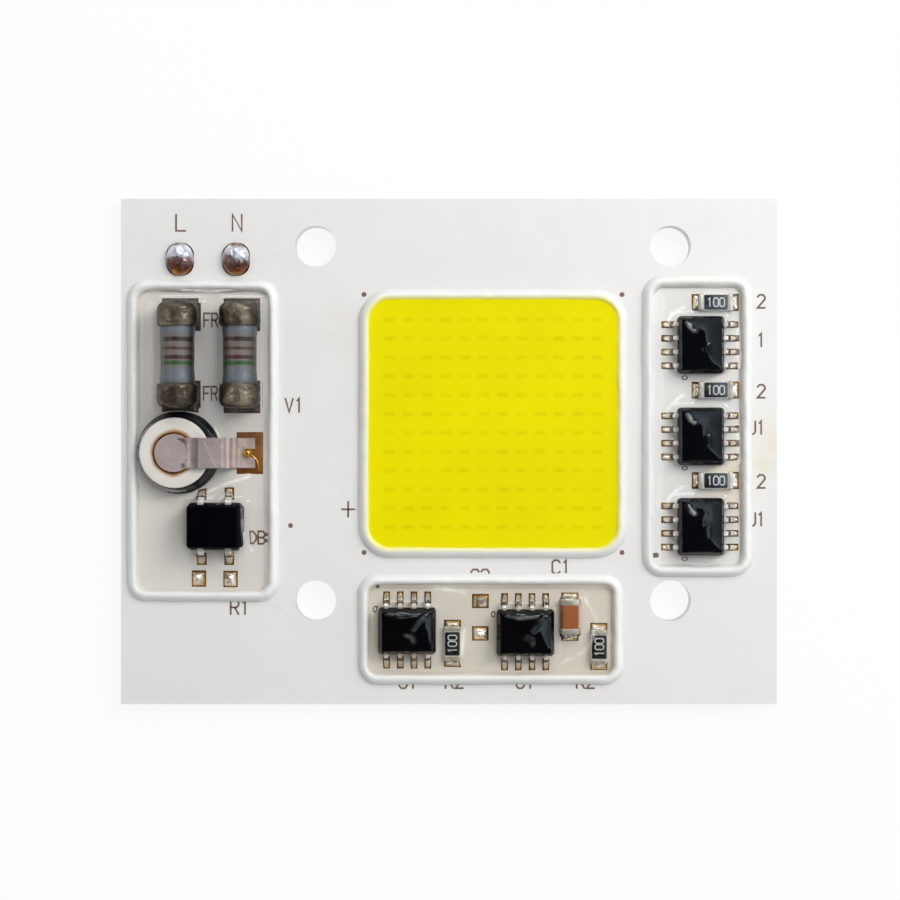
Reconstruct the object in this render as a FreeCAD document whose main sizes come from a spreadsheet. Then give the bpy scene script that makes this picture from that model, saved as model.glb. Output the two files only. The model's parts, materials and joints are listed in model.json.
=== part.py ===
"""LED lighting module: a chip-on-board light field and its mains driver on one aluminium-core board.

Frame: the origin is the optical axis, in the middle of the light field and of the four fixing
holes, on the rear face of the board. +X runs along the board, +Z leaves the lit face.
"""

import FreeCAD, Part
import math
import os
import re
import Sketcher

# Driving dimensions in millimetres and degrees: alias, value, meaning.
SIZES = [
    ("board_length", 61, "board along X"),
    ("board_width", 47, "board along Y"),
    ("board_x", -4.1, "middle of the board from the optical axis"),
    ("board_y", -2.6, "middle of the board from the optical axis"),
    ("base_thick", 1.4, "aluminium base"),
    ("insulation_thick", 0.1, "heat-conducting insulation"),
    ("copper_thick", 0.07, "etched copper"),
    ("mask_cover", 0.03, "white mask above the copper"),
    ("solder_film", 0.05, "solder between a land and what stands on it"),
    ("fixing_spacing", 33, "between the fixing holes, both ways"),
    ("fixing_radius", 1.9, "fixing hole"),
    ("light_length", 23.1, "yellow field, both ways"),
    ("light_corner", 1.9, "inner corner of the light dam"),
    ("light_bead", 1.15, "width of the light dam"),
    ("light_crown", 0.38, "shoulder of the light dam above the phosphor"),
    ("phosphor_level", 0.72, "phosphor above the mask"),
    ("chip_count", 12, "rows and columns of chips"),
    ("chip_pitch", 1.75, "between chips, both ways"),
    ("chip_length", 0.6, "chip along X"),
    ("chip_width", 0.35, "chip along Y"),
    ("chip_thick", 0.15, "chip"),
    ("wire_thick", 0.05, "bond wire"),
    ("bead", 1.2, "width of a driver dam"),
    ("bead_crown", 0.4, "shoulder of a driver dam above the gel"),
    ("bead_corner", 0.7, "inner corner of a driver dam"),
    ("gel_level", 0.7, "clear gel above the mask"),
    ("gel_clear", 0.02, "gap between the gel and a part that it runs round"),
    ("left_margin", 0.505, "board edge to the left dam"),
    ("left_y", -1.58, "left driver field"),
    ("left_length", 11.9, "left pool of gel along X"),
    ("left_width", 27.7, "left pool of gel along Y"),
    ("right_gap", 1.085, "light dam to the right dam"),
    ("right_y", -0.24, "right driver field"),
    ("right_length", 8.01, "right pool of gel along X"),
    ("right_width", 25.82, "right pool of gel along Y"),
    ("bottom_gap", 1.19, "light dam to the bottom dam"),
    ("bottom_x", -0.19, "bottom driver field"),
    ("bottom_length", 22.48, "bottom pool of gel along X"),
    ("bottom_width", 8.06, "bottom pool of gel along Y"),
    ("driver_1_x", 0.22, "driver chip package, from its field's middle"),
    ("driver_1_y", 7.51, "driver chip package, from its field's middle"),
    ("driver_2_x", 0.22, "driver chip package, from its field's middle"),
    ("driver_2_y", -0.96, "driver chip package, from its field's middle"),
    ("driver_3_x", 0.22, "driver chip package, from its field's middle"),
    ("driver_3_y", -9.33, "driver chip package, from its field's middle"),
    ("driver_4_x", -7.79, "driver chip package, from its field's middle"),
    ("driver_4_y", -0.07, "driver chip package, from its field's middle"),
    ("driver_5_x", 3.17, "driver chip package, from its field's middle"),
    ("driver_5_y", -0.24, "driver chip package, from its field's middle"),
    ("driver_length", 5.0, "moulded body along its rows of leads"),
    ("driver_width", 4.0, "moulded body between its rows of leads"),
    ("driver_thick", 1.45, "moulded body"),
    ("driver_standoff", 0.12, "under the moulded body"),
    ("driver_parting", 0.78, "parting line of the mould above the solder"),
    ("driver_pitch", 1.27, "between leads"),
    ("driver_span", 6.1, "over the tips of both rows of leads"),
    ("driver_lead_width", 0.42, "lead"),
    ("driver_lead_thick", 0.2, "lead"),
    ("driver_lead_foot", 0.55, "flat foot of a lead"),
    ("driver_lead_root", 0.3, "lead inside the body"),
    ("driver_lead_slope", 0.17, "run of the slanted part of a lead"),
    ("driver_land_length", 1.3, "land under a lead"),
    ("driver_land_width", 0.62, "land under a lead"),
    ("driver_land_reach", 3.6, "outer end of a land from the package's middle"),
    ("mould_taper", 8, "draft of the moulded bodies"),
    ("rectifier_x", 1.165, "rectifier package, from its field's middle"),
    ("rectifier_y", -7.95, "rectifier package, from its field's middle"),
    ("rectifier_length", 5.0, "moulded body along its rows of leads"),
    ("rectifier_width", 4.05, "moulded body between its rows of leads"),
    ("rectifier_thick", 2.5, "moulded body"),
    ("rectifier_standoff", 0.15, "under the moulded body"),
    ("rectifier_parting", 1.2, "parting line of the mould above the solder"),
    ("rectifier_pitch", 2.54, "between leads"),
    ("rectifier_span", 6.5, "over the tips of both rows of leads"),
    ("rectifier_lead_width", 0.6, "lead"),
    ("rectifier_lead_thick", 0.22, "lead"),
    ("rectifier_lead_foot", 0.6, "flat foot of a lead"),
    ("rectifier_lead_root", 0.4, "lead inside the body"),
    ("rectifier_lead_slope", 0.2, "run of the slanted part of a lead"),
    ("rectifier_land_length", 1.35, "land under a lead"),
    ("rectifier_land_width", 0.9, "land under a lead"),
    ("rectifier_land_reach", 3.6, "outer end of a land from the package's middle"),
    ("resistor_1_x", 1.66, "sense resistor, from its field's middle"),
    ("resistor_1_y", 11.47, "sense resistor, from its field's middle"),
    ("resistor_2_x", 1.66, "sense resistor, from its field's middle"),
    ("resistor_2_y", 3.34, "sense resistor, from its field's middle"),
    ("resistor_3_x", 1.66, "sense resistor, from its field's middle"),
    ("resistor_3_y", -5.06, "sense resistor, from its field's middle"),
    ("resistor_4_x", -3.59, "sense resistor, from its field's middle"),
    ("resistor_4_y", -1.31, "sense resistor, from its field's middle"),
    ("resistor_5_x", 10.03, "sense resistor, from its field's middle"),
    ("resistor_5_y", -1.61, "sense resistor, from its field's middle"),
    ("resistor_thick", 0.6, "resistor"),
    ("glaze_thick", 0.04, "black glaze and terminal film"),
    ("capacitor_x", 7.33, "ceramic capacitor, from its field's middle"),
    ("capacitor_y", 1.18, "ceramic capacitor, from its field's middle"),
    ("capacitor_thick", 1.0, "ceramic capacitor"),
    ("small_length", 3.2, "resistor or capacitor, over its terminals"),
    ("small_width", 1.6, "resistor or capacitor"),
    ("small_terminal", 0.5, "terminal along the part"),
    ("small_land_length", 1.05, "land under a terminal"),
    ("small_land_reach", 2.2, "outer end of a land from the part's middle"),
    ("fuse_1_x", -2.095, "fusible resistor, from its field's middle"),
    ("fuse_2_x", 3.625, "fusible resistor, from its field's middle"),
    ("fuse_y", 7.86, "fusible resistors, from its field's middle"),
    ("fuse_length", 9.8, "over both caps"),
    ("fuse_radius", 1.61, "lacquered body"),
    ("fuse_cap_radius", 1.92, "cap"),
    ("fuse_cap_length", 2.3, "cap"),
    ("fuse_cap_end", 0.5, "end wall of a cap"),
    ("fuse_cap_round", 0.45, "rounding of a cap's outer edge"),
    ("fuse_land_length", 2.9, "land under a cap"),
    ("fuse_land_width", 3.4, "land under a cap"),
    ("fuse_land_toe", 0.3, "land beyond the end of a cap"),
    ("varistor_x", -2.255, "varistor disc, from its field's middle"),
    ("varistor_y", -1.17, "varistor disc, from its field's middle"),
    ("varistor_radius", 3.6, "varistor disc, over its coated skirt"),
    ("varistor_face", 3.2, "radius of the disc's bare upper face"),
    ("varistor_skirt", 0.6, "upright part of the disc's skirt"),
    ("varistor_thick", 1.7, "varistor disc"),
    ("varistor_land", 4.6, "land under the disc, both ways"),
    ("strap_head", 2.1, "radius of the strap's round head"),
    ("strap_width", 2.8, "strap"),
    ("strap_thick", 0.2, "strap"),
    ("strap_bend", 0.35, "bend radius on the strap's middle"),
    ("strap_step_at", 1.5, "step from the disc's middle"),
    ("strap_step_run", 0.4, "run of the step"),
    ("strap_step_rise", 0.3, "rise of the step"),
    ("strap_arm_end", 4.7, "end of the flat arm from the disc's middle"),
    ("strap_drop_run", 0.8, "run of the drop to the board"),
    ("strap_tip", 7.1, "tip of the strap from the disc's middle"),
    ("strap_notch", 0.75, "width of the notch in the foot"),
    ("strap_notch_deep", 0.7, "depth of the notch in the foot"),
    ("strap_land_x", 6.62, "middle of the strap's land from the disc's middle"),
    ("strap_land_length", 2.5, "land under the foot"),
    ("strap_land_width", 3.9, "land under the foot"),
    ("live_x", -2.175, "live solder dome, from the left field's middle"),
    ("neutral_x", 3.035, "neutral solder dome, from the left field's middle"),
    ("dome_gap", 0.26, "left dam to the solder domes"),
    ("dome_length", 2.6, "solder dome along X"),
    ("dome_width", 3.1, "solder dome along Y"),
    ("dome_height", 1.1, "solder dome above the copper"),
    ("dome_shoulder", 0.6, "slope round the top of a solder dome"),
    ("spare_1_x", -0.375, "bare soldered land in the left field, from its field's middle"),
    ("spare_1_y", -12.84, "bare soldered land in the left field, from its field's middle"),
    ("spare_2_x", 2.555, "bare soldered land in the left field, from its field's middle"),
    ("spare_2_y", -12.88, "bare soldered land in the left field, from its field's middle"),
    ("spare_3_x", -0.98, "bare soldered land in the bottom field, from its field's middle"),
    ("spare_3_y", 2.63, "bare soldered land in the bottom field, from its field's middle"),
    ("spare_4_x", -0.98, "bare soldered land in the bottom field, from its field's middle"),
    ("spare_4_y", -0.38, "bare soldered land in the bottom field, from its field's middle"),
    ("spare_short", 1.33, "bare soldered land, its shorter side"),
    ("spare_long", 1.55, "bare soldered land, its longer side"),
    ("spare_solder", 0.2, "solder on a bare land"),
    ("solder_fillet", 0.3, "solder drawn up a terminal"),
    ("solder_draw", 0.08, "how far solder draws in towards its top"),
    ("track_width", 0.5, "copper track between small lands"),
    ("track_wide", 2.0, "copper track that carries the mains"),
]
NAMES = {alias for alias, number, meaning in SIZES}

# Heights above the rear face.
INSULATION_Z = "base_thick"
COPPER_Z = "base_thick + insulation_thick"
LAND_Z = COPPER_Z + " + copper_thick"
MASK_Z = LAND_Z + " + mask_cover"
SEAT_Z = LAND_Z + " + solder_film"

# Middles of the driver fields.
FIELD_MIDDLES = {
    "left": ("(board_x - board_length / 2 + left_margin + bead + left_length / 2)", "left_y"),
    "right": ("(light_length / 2 + light_bead + right_gap + bead + right_length / 2)", "right_y"),
    "bottom": ("bottom_x", "(-light_length / 2 - light_bead - bottom_gap - bead - bottom_width / 2)"),
}
DOME_Y = "left_y + left_width / 2 + bead + dome_gap + dome_width / 2"
FUSE_REACH = "(fuse_length / 2 + fuse_land_toe)"

doc = FreeCAD.newDocument("light_module")
sheet = doc.addObject("Spreadsheet::Sheet", "sizes")
for row, (alias, number, meaning) in enumerate(SIZES, 1):
    sheet.set(f"A{row}", meaning)
    sheet.set(f"B{row}", str(number))
    sheet.setAlias(f"B{row}", alias)
doc.recompute()

parts = []


def value(text):
    """The number that an expression of sheet names stands for."""
    return float(sheet.evalExpression(text))


def sheet_name(word):
    """A name as an expression reads it, with the sheet named before an alias."""
    return ("sizes." if word.group() in NAMES else "") + word.group()


def bind(thing, path, text):
    """Ties one property of a thing to an expression of sheet names."""
    thing.setExpression(path, re.sub(r"[a-z]\w*", sheet_name, text))


def place_at(thing, x, y, z):
    for axis, text in zip("xyz", (x, y, z)):
        bind(thing, f"Placement.Base.{axis}", text)


def keep(thing, name):
    """Counts a finished piece as a part of the module, under its own name."""
    thing.Label = name
    parts.append(thing)
    return thing


def new_body(name):
    return doc.addObject("PartDesign::Body", name)


def new_sketch(body, name, role, lift="0"):
    """A sketch on one of the body's own planes, lifted off it along its normal."""
    sketch = body.newObject("Sketcher::SketchObject", name)
    plane = [item for item in body.Origin.OriginFeatures if item.Role == role][0]
    sketch.AttachmentSupport = [(plane, "")]
    sketch.MapMode = "FlatFace"
    bind(sketch, "AttachmentOffset.Base.z", lift)
    return sketch


def pin(sketch, geometry, end, point):
    """Fixes one point of a sketch at two expressions."""
    for kind, text in zip(("DistanceX", "DistanceY"), point):
        number = sketch.addConstraint(Sketcher.Constraint(kind, -1, 1, geometry, end, value(text)))
        sketch.renameConstraint(number, f"pin_{number}")
        bind(sketch, f"Constraints.pin_{number}", text)


def drive_radius(sketch, geometry, text):
    number = sketch.addConstraint(Sketcher.Constraint("Radius", geometry, value(text)))
    sketch.renameConstraint(number, f"radius_{number}")
    bind(sketch, f"Constraints.radius_{number}", text)


def draw_outline(sketch, corners):
    """A closed outline of straight sides between corners given as expressions."""
    first = sketch.GeometryCount
    points = [FreeCAD.Vector(value(x), value(y), 0) for x, y in corners]
    for here, there in zip(points, points[1:] + points[:1]):
        sketch.addGeometry(Part.LineSegment(here, there))
    for side, corner in enumerate(corners):
        follower = first + (side + 1) % len(corners)
        sketch.addConstraint(Sketcher.Constraint("Coincident", first + side, 2, follower, 1))
        pin(sketch, first + side, 1, corner)


def draw_rectangle(sketch, length, width, x="0", y="0"):
    left, right = f"{x} - ({length}) / 2", f"{x} + ({length}) / 2"
    low, high = f"{y} - ({width}) / 2", f"{y} + ({width}) / 2"
    draw_outline(sketch, [(left, low), (right, low), (right, high), (left, high)])


def draw_circle(sketch, radius, x="0", y="0"):
    centre = FreeCAD.Vector(value(x), value(y), 0)
    circle = sketch.addGeometry(Part.Circle(centre, FreeCAD.Vector(0, 0, 1), value(radius)))
    pin(sketch, circle, 3, (x, y))
    drive_radius(sketch, circle, radius)


def draw_bent_path(sketch, corners, radius, closed=False):
    """Straight runs joined by tangent arcs of one radius. Each run keeps to the line between its corners."""
    points = [FreeCAD.Vector(value(x), value(y), 0) for x, y in corners]
    count = len(points)
    bends = range(count) if closed else range(1, count - 1)
    bend_radius = value(radius)
    start_of = dict(enumerate(points))
    end_of = dict(enumerate(points))
    arcs = {}
    for bend in bends:
        ahead = (points[(bend + 1) % count] - points[bend]).normalize()
        behind = (points[bend - 1] - points[bend]).normalize()
        half = behind.getAngle(ahead) / 2
        trim = bend_radius / math.tan(half)
        centre = points[bend] + (ahead + behind).normalize() * (bend_radius / math.sin(half))
        end_of[bend] = points[bend] + behind * trim
        start_of[bend] = points[bend] + ahead * trim
        left_turn = behind.cross(ahead).z < 0
        ends = [end_of[bend] - centre, start_of[bend] - centre]
        if not left_turn:
            ends.reverse()
        angles = [math.atan2(end.y, end.x) for end in ends]
        circle = Part.Circle(centre, FreeCAD.Vector(0, 0, 1), bend_radius)
        arcs[bend] = (Part.ArcOfCircle(circle, angles[0], angles[1]), left_turn)
    lines, arc_ids = {}, {}
    for run in range(count if closed else count - 1):
        if run in arcs:
            arc_ids[run] = sketch.addGeometry(arcs[run][0])
        lines[run] = sketch.addGeometry(Part.LineSegment(start_of[run], end_of[(run + 1) % count]))
    first_arc = None
    for bend in bends:
        before, after, arc = lines[(bend - 1) % count], lines[bend], arc_ids[bend]
        arc_in, arc_out = (1, 2) if arcs[bend][1] else (2, 1)
        sketch.addConstraint(Sketcher.Constraint("Tangent", before, 2, arc, arc_in))
        sketch.addConstraint(Sketcher.Constraint("Tangent", after, 1, arc, arc_out))
        corner = sketch.addGeometry(Part.Point(points[bend]), True)
        pin(sketch, corner, 1, corners[bend])
        sketch.addConstraint(Sketcher.Constraint("PointOnObject", corner, 1, before))
        sketch.addConstraint(Sketcher.Constraint("PointOnObject", corner, 1, after))
        if first_arc is None:
            first_arc = arc
            drive_radius(sketch, arc, radius)
        else:
            sketch.addConstraint(Sketcher.Constraint("Equal", first_arc, arc))
    if not closed:
        pin(sketch, lines[0], 1, corners[0])
        pin(sketch, lines[count - 2], 2, corners[-1])
    return [f"Edge{number + 1}" for number in range(len(lines) + len(arc_ids))]


def draw_rounded_outline(sketch, length, width, radius):
    """A rounded rectangle about the sketch's origin."""
    right, high = f"({length}) / 2", f"({width}) / 2"
    corners = [(f"-{right}", f"-{high}"), (right, f"-{high}"), (right, high), (f"-{right}", high)]
    draw_bent_path(sketch, corners, radius, closed=True)


def draw_path(sketch, corners):
    """An open path of straight runs between corners."""
    points = [FreeCAD.Vector(value(x), value(y), 0) for x, y in corners]
    for here, there in zip(points, points[1:]):
        sketch.addGeometry(Part.LineSegment(here, there))
    last = len(corners) - 2
    for run in range(last):
        sketch.addConstraint(Sketcher.Constraint("Coincident", run, 2, run + 1, 1))
    for run in range(last + 1):
        pin(sketch, run, 1, corners[run])
    pin(sketch, last, 2, corners[-1])
    return [f"Edge{run + 1}" for run in range(last + 1)]


def pad(body, sketch, length, taper="0", down=False):
    feature = body.newObject("PartDesign::Pad", sketch.Name + "_pad")
    feature.Profile = sketch
    feature.Reversed = down
    bind(feature, "Length", length)
    bind(feature, "TaperAngle", taper)
    return feature


def sweep(body, profile, path, edges):
    feature = body.newObject("PartDesign::AdditivePipe", path.Name + "_sweep")
    feature.Profile = profile
    feature.Spine = (path, edges)
    feature.Transition = "Right corner"
    return feature


def revolve(body, sketch, axis_role):
    feature = body.newObject("PartDesign::Revolution", sketch.Name + "_turned")
    feature.Profile = sketch
    axis = [item for item in body.Origin.OriginFeatures if item.Role == axis_role][0]
    feature.ReferenceAxis = (axis, [""])
    feature.Angle = 360
    return feature


def block(name, x, y, low, high, length, width):
    """A box centred in plan on x, y between two heights."""
    box = doc.addObject("Part::Box", name)
    bind(box, "Length", length)
    bind(box, "Width", width)
    bind(box, "Height", f"({high}) - ({low})")
    place_at(box, f"{x} - ({length}) / 2", f"{y} - ({width}) / 2", low)
    return box


def mound(name, land, height):
    """Solder drawn in towards its top: a block with slanted sides that fills a land's window."""
    x, y, length, width = land
    wedge = doc.addObject("Part::Wedge", name)
    wedge.Placement.Rotation = FreeCAD.Rotation(FreeCAD.Vector(1, 0, 0), 90)
    for axis, size in (("X", length), ("Z", width)):
        bind(wedge, f"{axis}min", f"-({size}) / 2")
        bind(wedge, f"{axis}max", f"({size}) / 2")
        bind(wedge, f"{axis}2min", f"solder_draw - ({size}) / 2")
        bind(wedge, f"{axis}2max", f"({size}) / 2 - solder_draw")
    wedge.Ymin = 0
    bind(wedge, "Ymax", height)
    place_at(wedge, x, y, LAND_Z)
    return wedge


def gather(name, things):
    group = doc.addObject("Part::Compound", name)
    group.Links = things
    return group


def fuse(name, things):
    joined = doc.addObject("Part::MultiFuse", name)
    joined.Shapes = things
    return joined


def cut(name, base, tool):
    result = doc.addObject("Part::Cut", name)
    result.Base = base
    result.Tool = tool
    return result


def spot(place, along="0", across="0"):
    """Board coordinates of a point in a component's own axes. A turned component's +X is the board's +Y."""
    name, turned, field = place
    field_x, field_y = FIELD_MIDDLES[field]
    if turned:
        return f"{field_x} + {name}_x - ({across})", f"{field_y} + {name}_y + ({along})"
    return f"{field_x} + {name}_x + ({along})", f"{field_y} + {name}_y + ({across})"


def land(place, along, across, length, width):
    """A land as middle x, middle y, size along X and size along Y."""
    x, y = spot(place, along, across)
    return (x, y, width, length) if place[1] else (x, y, length, width)


def seat(thing, place, height=SEAT_Z):
    """Stands a component on its lands, turned as its place says."""
    if place[1]:
        thing.Placement.Rotation = FreeCAD.Rotation(FreeCAD.Vector(0, 0, 1), 90)
    place_at(thing, *spot(place), height)


# Components: the name of their place, whether they are turned a quarter turn, and their field.
DRIVERS = [(f"driver_{number}", False, "right") for number in (1, 2, 3)]
DRIVERS += [(f"driver_{number}", True, "bottom") for number in (4, 5)]
RESISTORS = [(name.replace("driver", "resistor"), turned, field) for name, turned, field in DRIVERS]
RECTIFIER = ("rectifier", True, "left")
CAPACITOR = ("capacitor", True, "bottom")
VARISTOR = ("varistor", False, "left")


def package_lands(place, kind, per_side):
    """Two rows of lands under a moulded package, its leads leaving along its own X."""
    lands = []
    for side in (-1, 1):
        for number in range(per_side):
            along = f"{side} * ({kind}_land_reach - {kind}_land_length / 2)"
            across = f"{number - (per_side - 1) / 2} * {kind}_pitch"
            lands.append(land(place, along, across, f"{kind}_land_length", f"{kind}_land_width"))
    return lands


def small_lands(place):
    return [land(place, f"{side} * (small_land_reach - small_land_length / 2)", "0",
                 "small_land_length", "small_width") for side in (-1, 1)]


def fuse_middle(number):
    field_x, field_y = FIELD_MIDDLES["left"]
    return f"{field_x} + fuse_{number}_x", f"{field_y} + fuse_y"


def fuse_lands(number):
    x, y = fuse_middle(number)
    away = f"({FUSE_REACH} - fuse_land_length / 2)"
    return [(x, f"{y} + {side} * {away}", "fuse_land_width", "fuse_land_length") for side in (-1, 1)]


def spare_land(number, field):
    size = ("spare_long", "spare_short") if field == "bottom" else ("spare_short", "spare_long")
    return (*spot((f"spare_{number}", False, field)), *size)


def dome_land(side):
    return (f"{FIELD_MIDDLES['left'][0]} + {side}_x", DOME_Y, "dome_length", "dome_width")


DISC_LAND = land(VARISTOR, "0", "0", "varistor_land", "varistor_land")
STRAP_LAND = land(VARISTOR, "strap_land_x", "0", "strap_land_length", "strap_land_width")
SPARE_LEFT = [spare_land(1, "left"), spare_land(2, "left")]
SPARE_BOTTOM = [spare_land(3, "bottom"), spare_land(4, "bottom")]
DOME_LANDS = [dome_land("live"), dome_land("neutral")]


def all_lands():
    lands = package_lands(RECTIFIER, "rectifier", 2) + [DISC_LAND, STRAP_LAND] + SPARE_LEFT + SPARE_BOTTOM
    for place in DRIVERS:
        lands += package_lands(place, "driver", 4)
    for place in RESISTORS + [CAPACITOR]:
        lands += small_lands(place)
    return lands + fuse_lands(1) + fuse_lands(2)


def build_layer(name, low, high):
    """One full sheet of the board with its four fixing holes."""
    body = new_body(name)
    sketch = new_sketch(body, name + "_outline", "XY_Plane", low)
    draw_rectangle(sketch, "board_length", "board_width", "board_x", "board_y")
    for x_side in (-1, 1):
        for y_side in (-1, 1):
            centre = (f"{x_side} * fixing_spacing / 2", f"{y_side} * fixing_spacing / 2")
            draw_circle(sketch, "fixing_radius", *centre)
    pad(body, sketch, f"({high}) - ({low})")
    return body


def build_tracks():
    """Copper runs from the supply domes through the fusible resistors to the varistor and the rectifier,
    and down each column of driver packages."""
    def run(name, x, low, high, width):
        middle = f"(({low}) + ({high})) / 2"
        return block(name, x, middle, COPPER_Z, LAND_Z, width, f"({high}) - ({low})")

    tracks = []
    varistor_y = spot(VARISTOR)[1]
    for number, dome in zip((1, 2), DOME_LANDS):
        x, y = fuse_middle(number)
        end = f"({FUSE_REACH} - fuse_land_length / 2)"
        tracks.append(run(f"track_supply_{number}", x, f"{y} + {end}", dome[1], "track_wide"))
        tracks.append(run(f"track_varistor_{number}", x, varistor_y, f"{y} - {end}", "track_wide"))
    rectifier_y = spot(RECTIFIER, "rectifier_land_length / 2 - rectifier_land_reach")[1]
    for spare, side in zip(SPARE_LEFT, (1, -1)):
        x = spot(RECTIFIER, "0", f"{side} * rectifier_pitch / 2")[0]
        tracks.append(run(f"track_spare_{side + 1}", x, spare[1], rectifier_y, "track_width"))
    for upper, lower in ((0, 1), (1, 2)):
        x, high = spot(DRIVERS[upper], "driver_land_length / 2 - driver_land_reach", "-1.5 * driver_pitch")
        low = spot(DRIVERS[lower], "0", "1.5 * driver_pitch")[1]
        tracks.append(run(f"track_drivers_{lower}", x, low, high, "track_width"))
    return tracks


def build_dome(side):
    """A drop of solder for a supply wire: an oval with a sloping shoulder."""
    body = new_body(side + "_dome")
    sketch = new_sketch(body, side + "_dome_outline", "XY_Plane")
    draw_rounded_outline(sketch, "dome_length", "dome_width", "0.45 * dome_length")
    return slope_shoulders(body, pad(body, sketch, "dome_height"), "dome_shoulder",
                           *dome_land(side)[:2], LAND_Z)


def build_board():
    """Aluminium base, insulation, etched copper, and the white mask round the supply domes."""
    keep(build_layer("aluminium_base", "0", INSULATION_Z), "aluminium_base")
    keep(build_layer("insulation_layer", INSULATION_Z, COPPER_Z), "insulation_layer")
    lands = all_lands()
    islands = []
    windows = []
    for number, (x, y, length, width) in enumerate(lands + DOME_LANDS):
        islands.append(block(f"island_{number}", x, y, COPPER_Z, LAND_Z, length, width))
    for number, (x, y, length, width) in enumerate(lands):
        windows.append(block(f"window_{number}", x, y, COPPER_Z, MASK_Z, length, width))
    copper = keep(fuse("copper_circuit", islands + build_tracks()), "copper_circuit")
    domes = keep(gather("supply_solder_domes", [build_dome(side) for side in ("live", "neutral")]),
                 "supply_solder_domes")
    openings = gather("mask_openings", windows)
    mask = build_layer("mask_sheet", COPPER_Z, MASK_Z)
    for name, tool in (("mask_over_copper", copper), ("mask_windows", openings), ("solder_mask", domes)):
        mask = cut(name, mask, tool)
    keep(mask, "solder_mask")


def slope_shoulders(body, padded, size, x, y, z):
    """Breaks the edges of a pad's upper face, and puts the body in its place."""
    doc.recompute()
    faces = padded.Shape.Faces
    top = max(range(len(faces)), key=lambda index: faces[index].CenterOfMass.z)
    shoulders = body.newObject("PartDesign::Chamfer", body.Name + "_shoulders")
    shoulders.Base = (padded, [f"Face{top + 1}"])
    bind(shoulders, "Size", size)
    place_at(body, x, y, z)
    return body


def build_dam(name, x, y, length, width, corner, bead_width, level, crown):
    """A dispensed bead of silicone round a pool of the given size: upright flanks and sloping shoulders."""
    body = new_body(name)
    sketch = new_sketch(body, name + "_outline", "XY_Plane")
    draw_rounded_outline(sketch, length, width, corner)
    draw_rounded_outline(sketch, f"{length} + 2 * {bead_width}", f"{width} + 2 * {bead_width}",
                         f"{corner} + {bead_width}")
    ring = pad(body, sketch, f"{level} + {crown}")
    return keep(slope_shoulders(body, ring, f"min({crown}; 0.4 * {bead_width})", x, y, MASK_Z), name)


def build_pool(name, x, y, length, width, corner, level):
    """The silicone inside a dam, level with the top of the dam's flank."""
    body = new_body(name)
    sketch = new_sketch(body, name + "_outline", "XY_Plane")
    draw_rounded_outline(sketch, length, width, corner)
    pad(body, sketch, level)
    place_at(body, x, y, MASK_Z)
    return body


def build_light():
    """The light field: dam, chips on the white mask, their bond wires, and the phosphor poured over them.
    The phosphor has one channel for each row of chips and wires."""
    field = ("0", "0", "light_length", "light_length", "light_corner")
    build_dam("light_dam", *field, "light_bead", "phosphor_level", "light_crown")
    first = "-(chip_count - 1) / 2 * chip_pitch"
    row_length = "(chip_count - 1) * chip_pitch + chip_length"

    def row_solid(name, length, width, x, low, high):
        body = new_body(name)
        sketch = new_sketch(body, name + "_outline", "XY_Plane", low)
        draw_rectangle(sketch, length, width, x, first)
        pad(body, sketch, f"({high}) - ({low})")
        place_at(body, "0", "0", MASK_Z)
        return body, sketch

    def repeat(body, sketch, axes):
        grid = body.newObject("PartDesign::MultiTransform", body.Name + "_grid")
        grid.Originals = [body.Tip]
        steps = []
        for axis in axes:
            step = body.newObject("PartDesign::LinearPattern", f"{body.Name}_step_{axis[0]}")
            step.Direction = (sketch, [axis])
            bind(step, "Length", "(chip_count - 1) * chip_pitch")
            bind(step, "Occurrences", "chip_count")
            steps.append(step)
        grid.Transformations = steps
        body.Tip = grid
        return body

    chip, outline = row_solid("light_chips", "chip_length", "chip_width", first, "0", "chip_thick")
    keep(repeat(chip, outline, ("H_Axis", "V_Axis")), "light_chips")
    wire_top = "chip_thick + wire_thick"
    wire, outline = row_solid("bond_wires", row_length, "wire_thick", "0", "chip_thick", wire_top)
    keep(repeat(wire, outline, ("V_Axis",)), "bond_wires")
    channel, outline = row_solid("chip_channels", row_length, "chip_width", "0", "0", wire_top)
    channels = repeat(channel, outline, ("V_Axis",))
    pool = build_pool("phosphor_pool", *field, "phosphor_level")
    keep(cut("phosphor_fill", pool, channels), "phosphor_fill")


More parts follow.
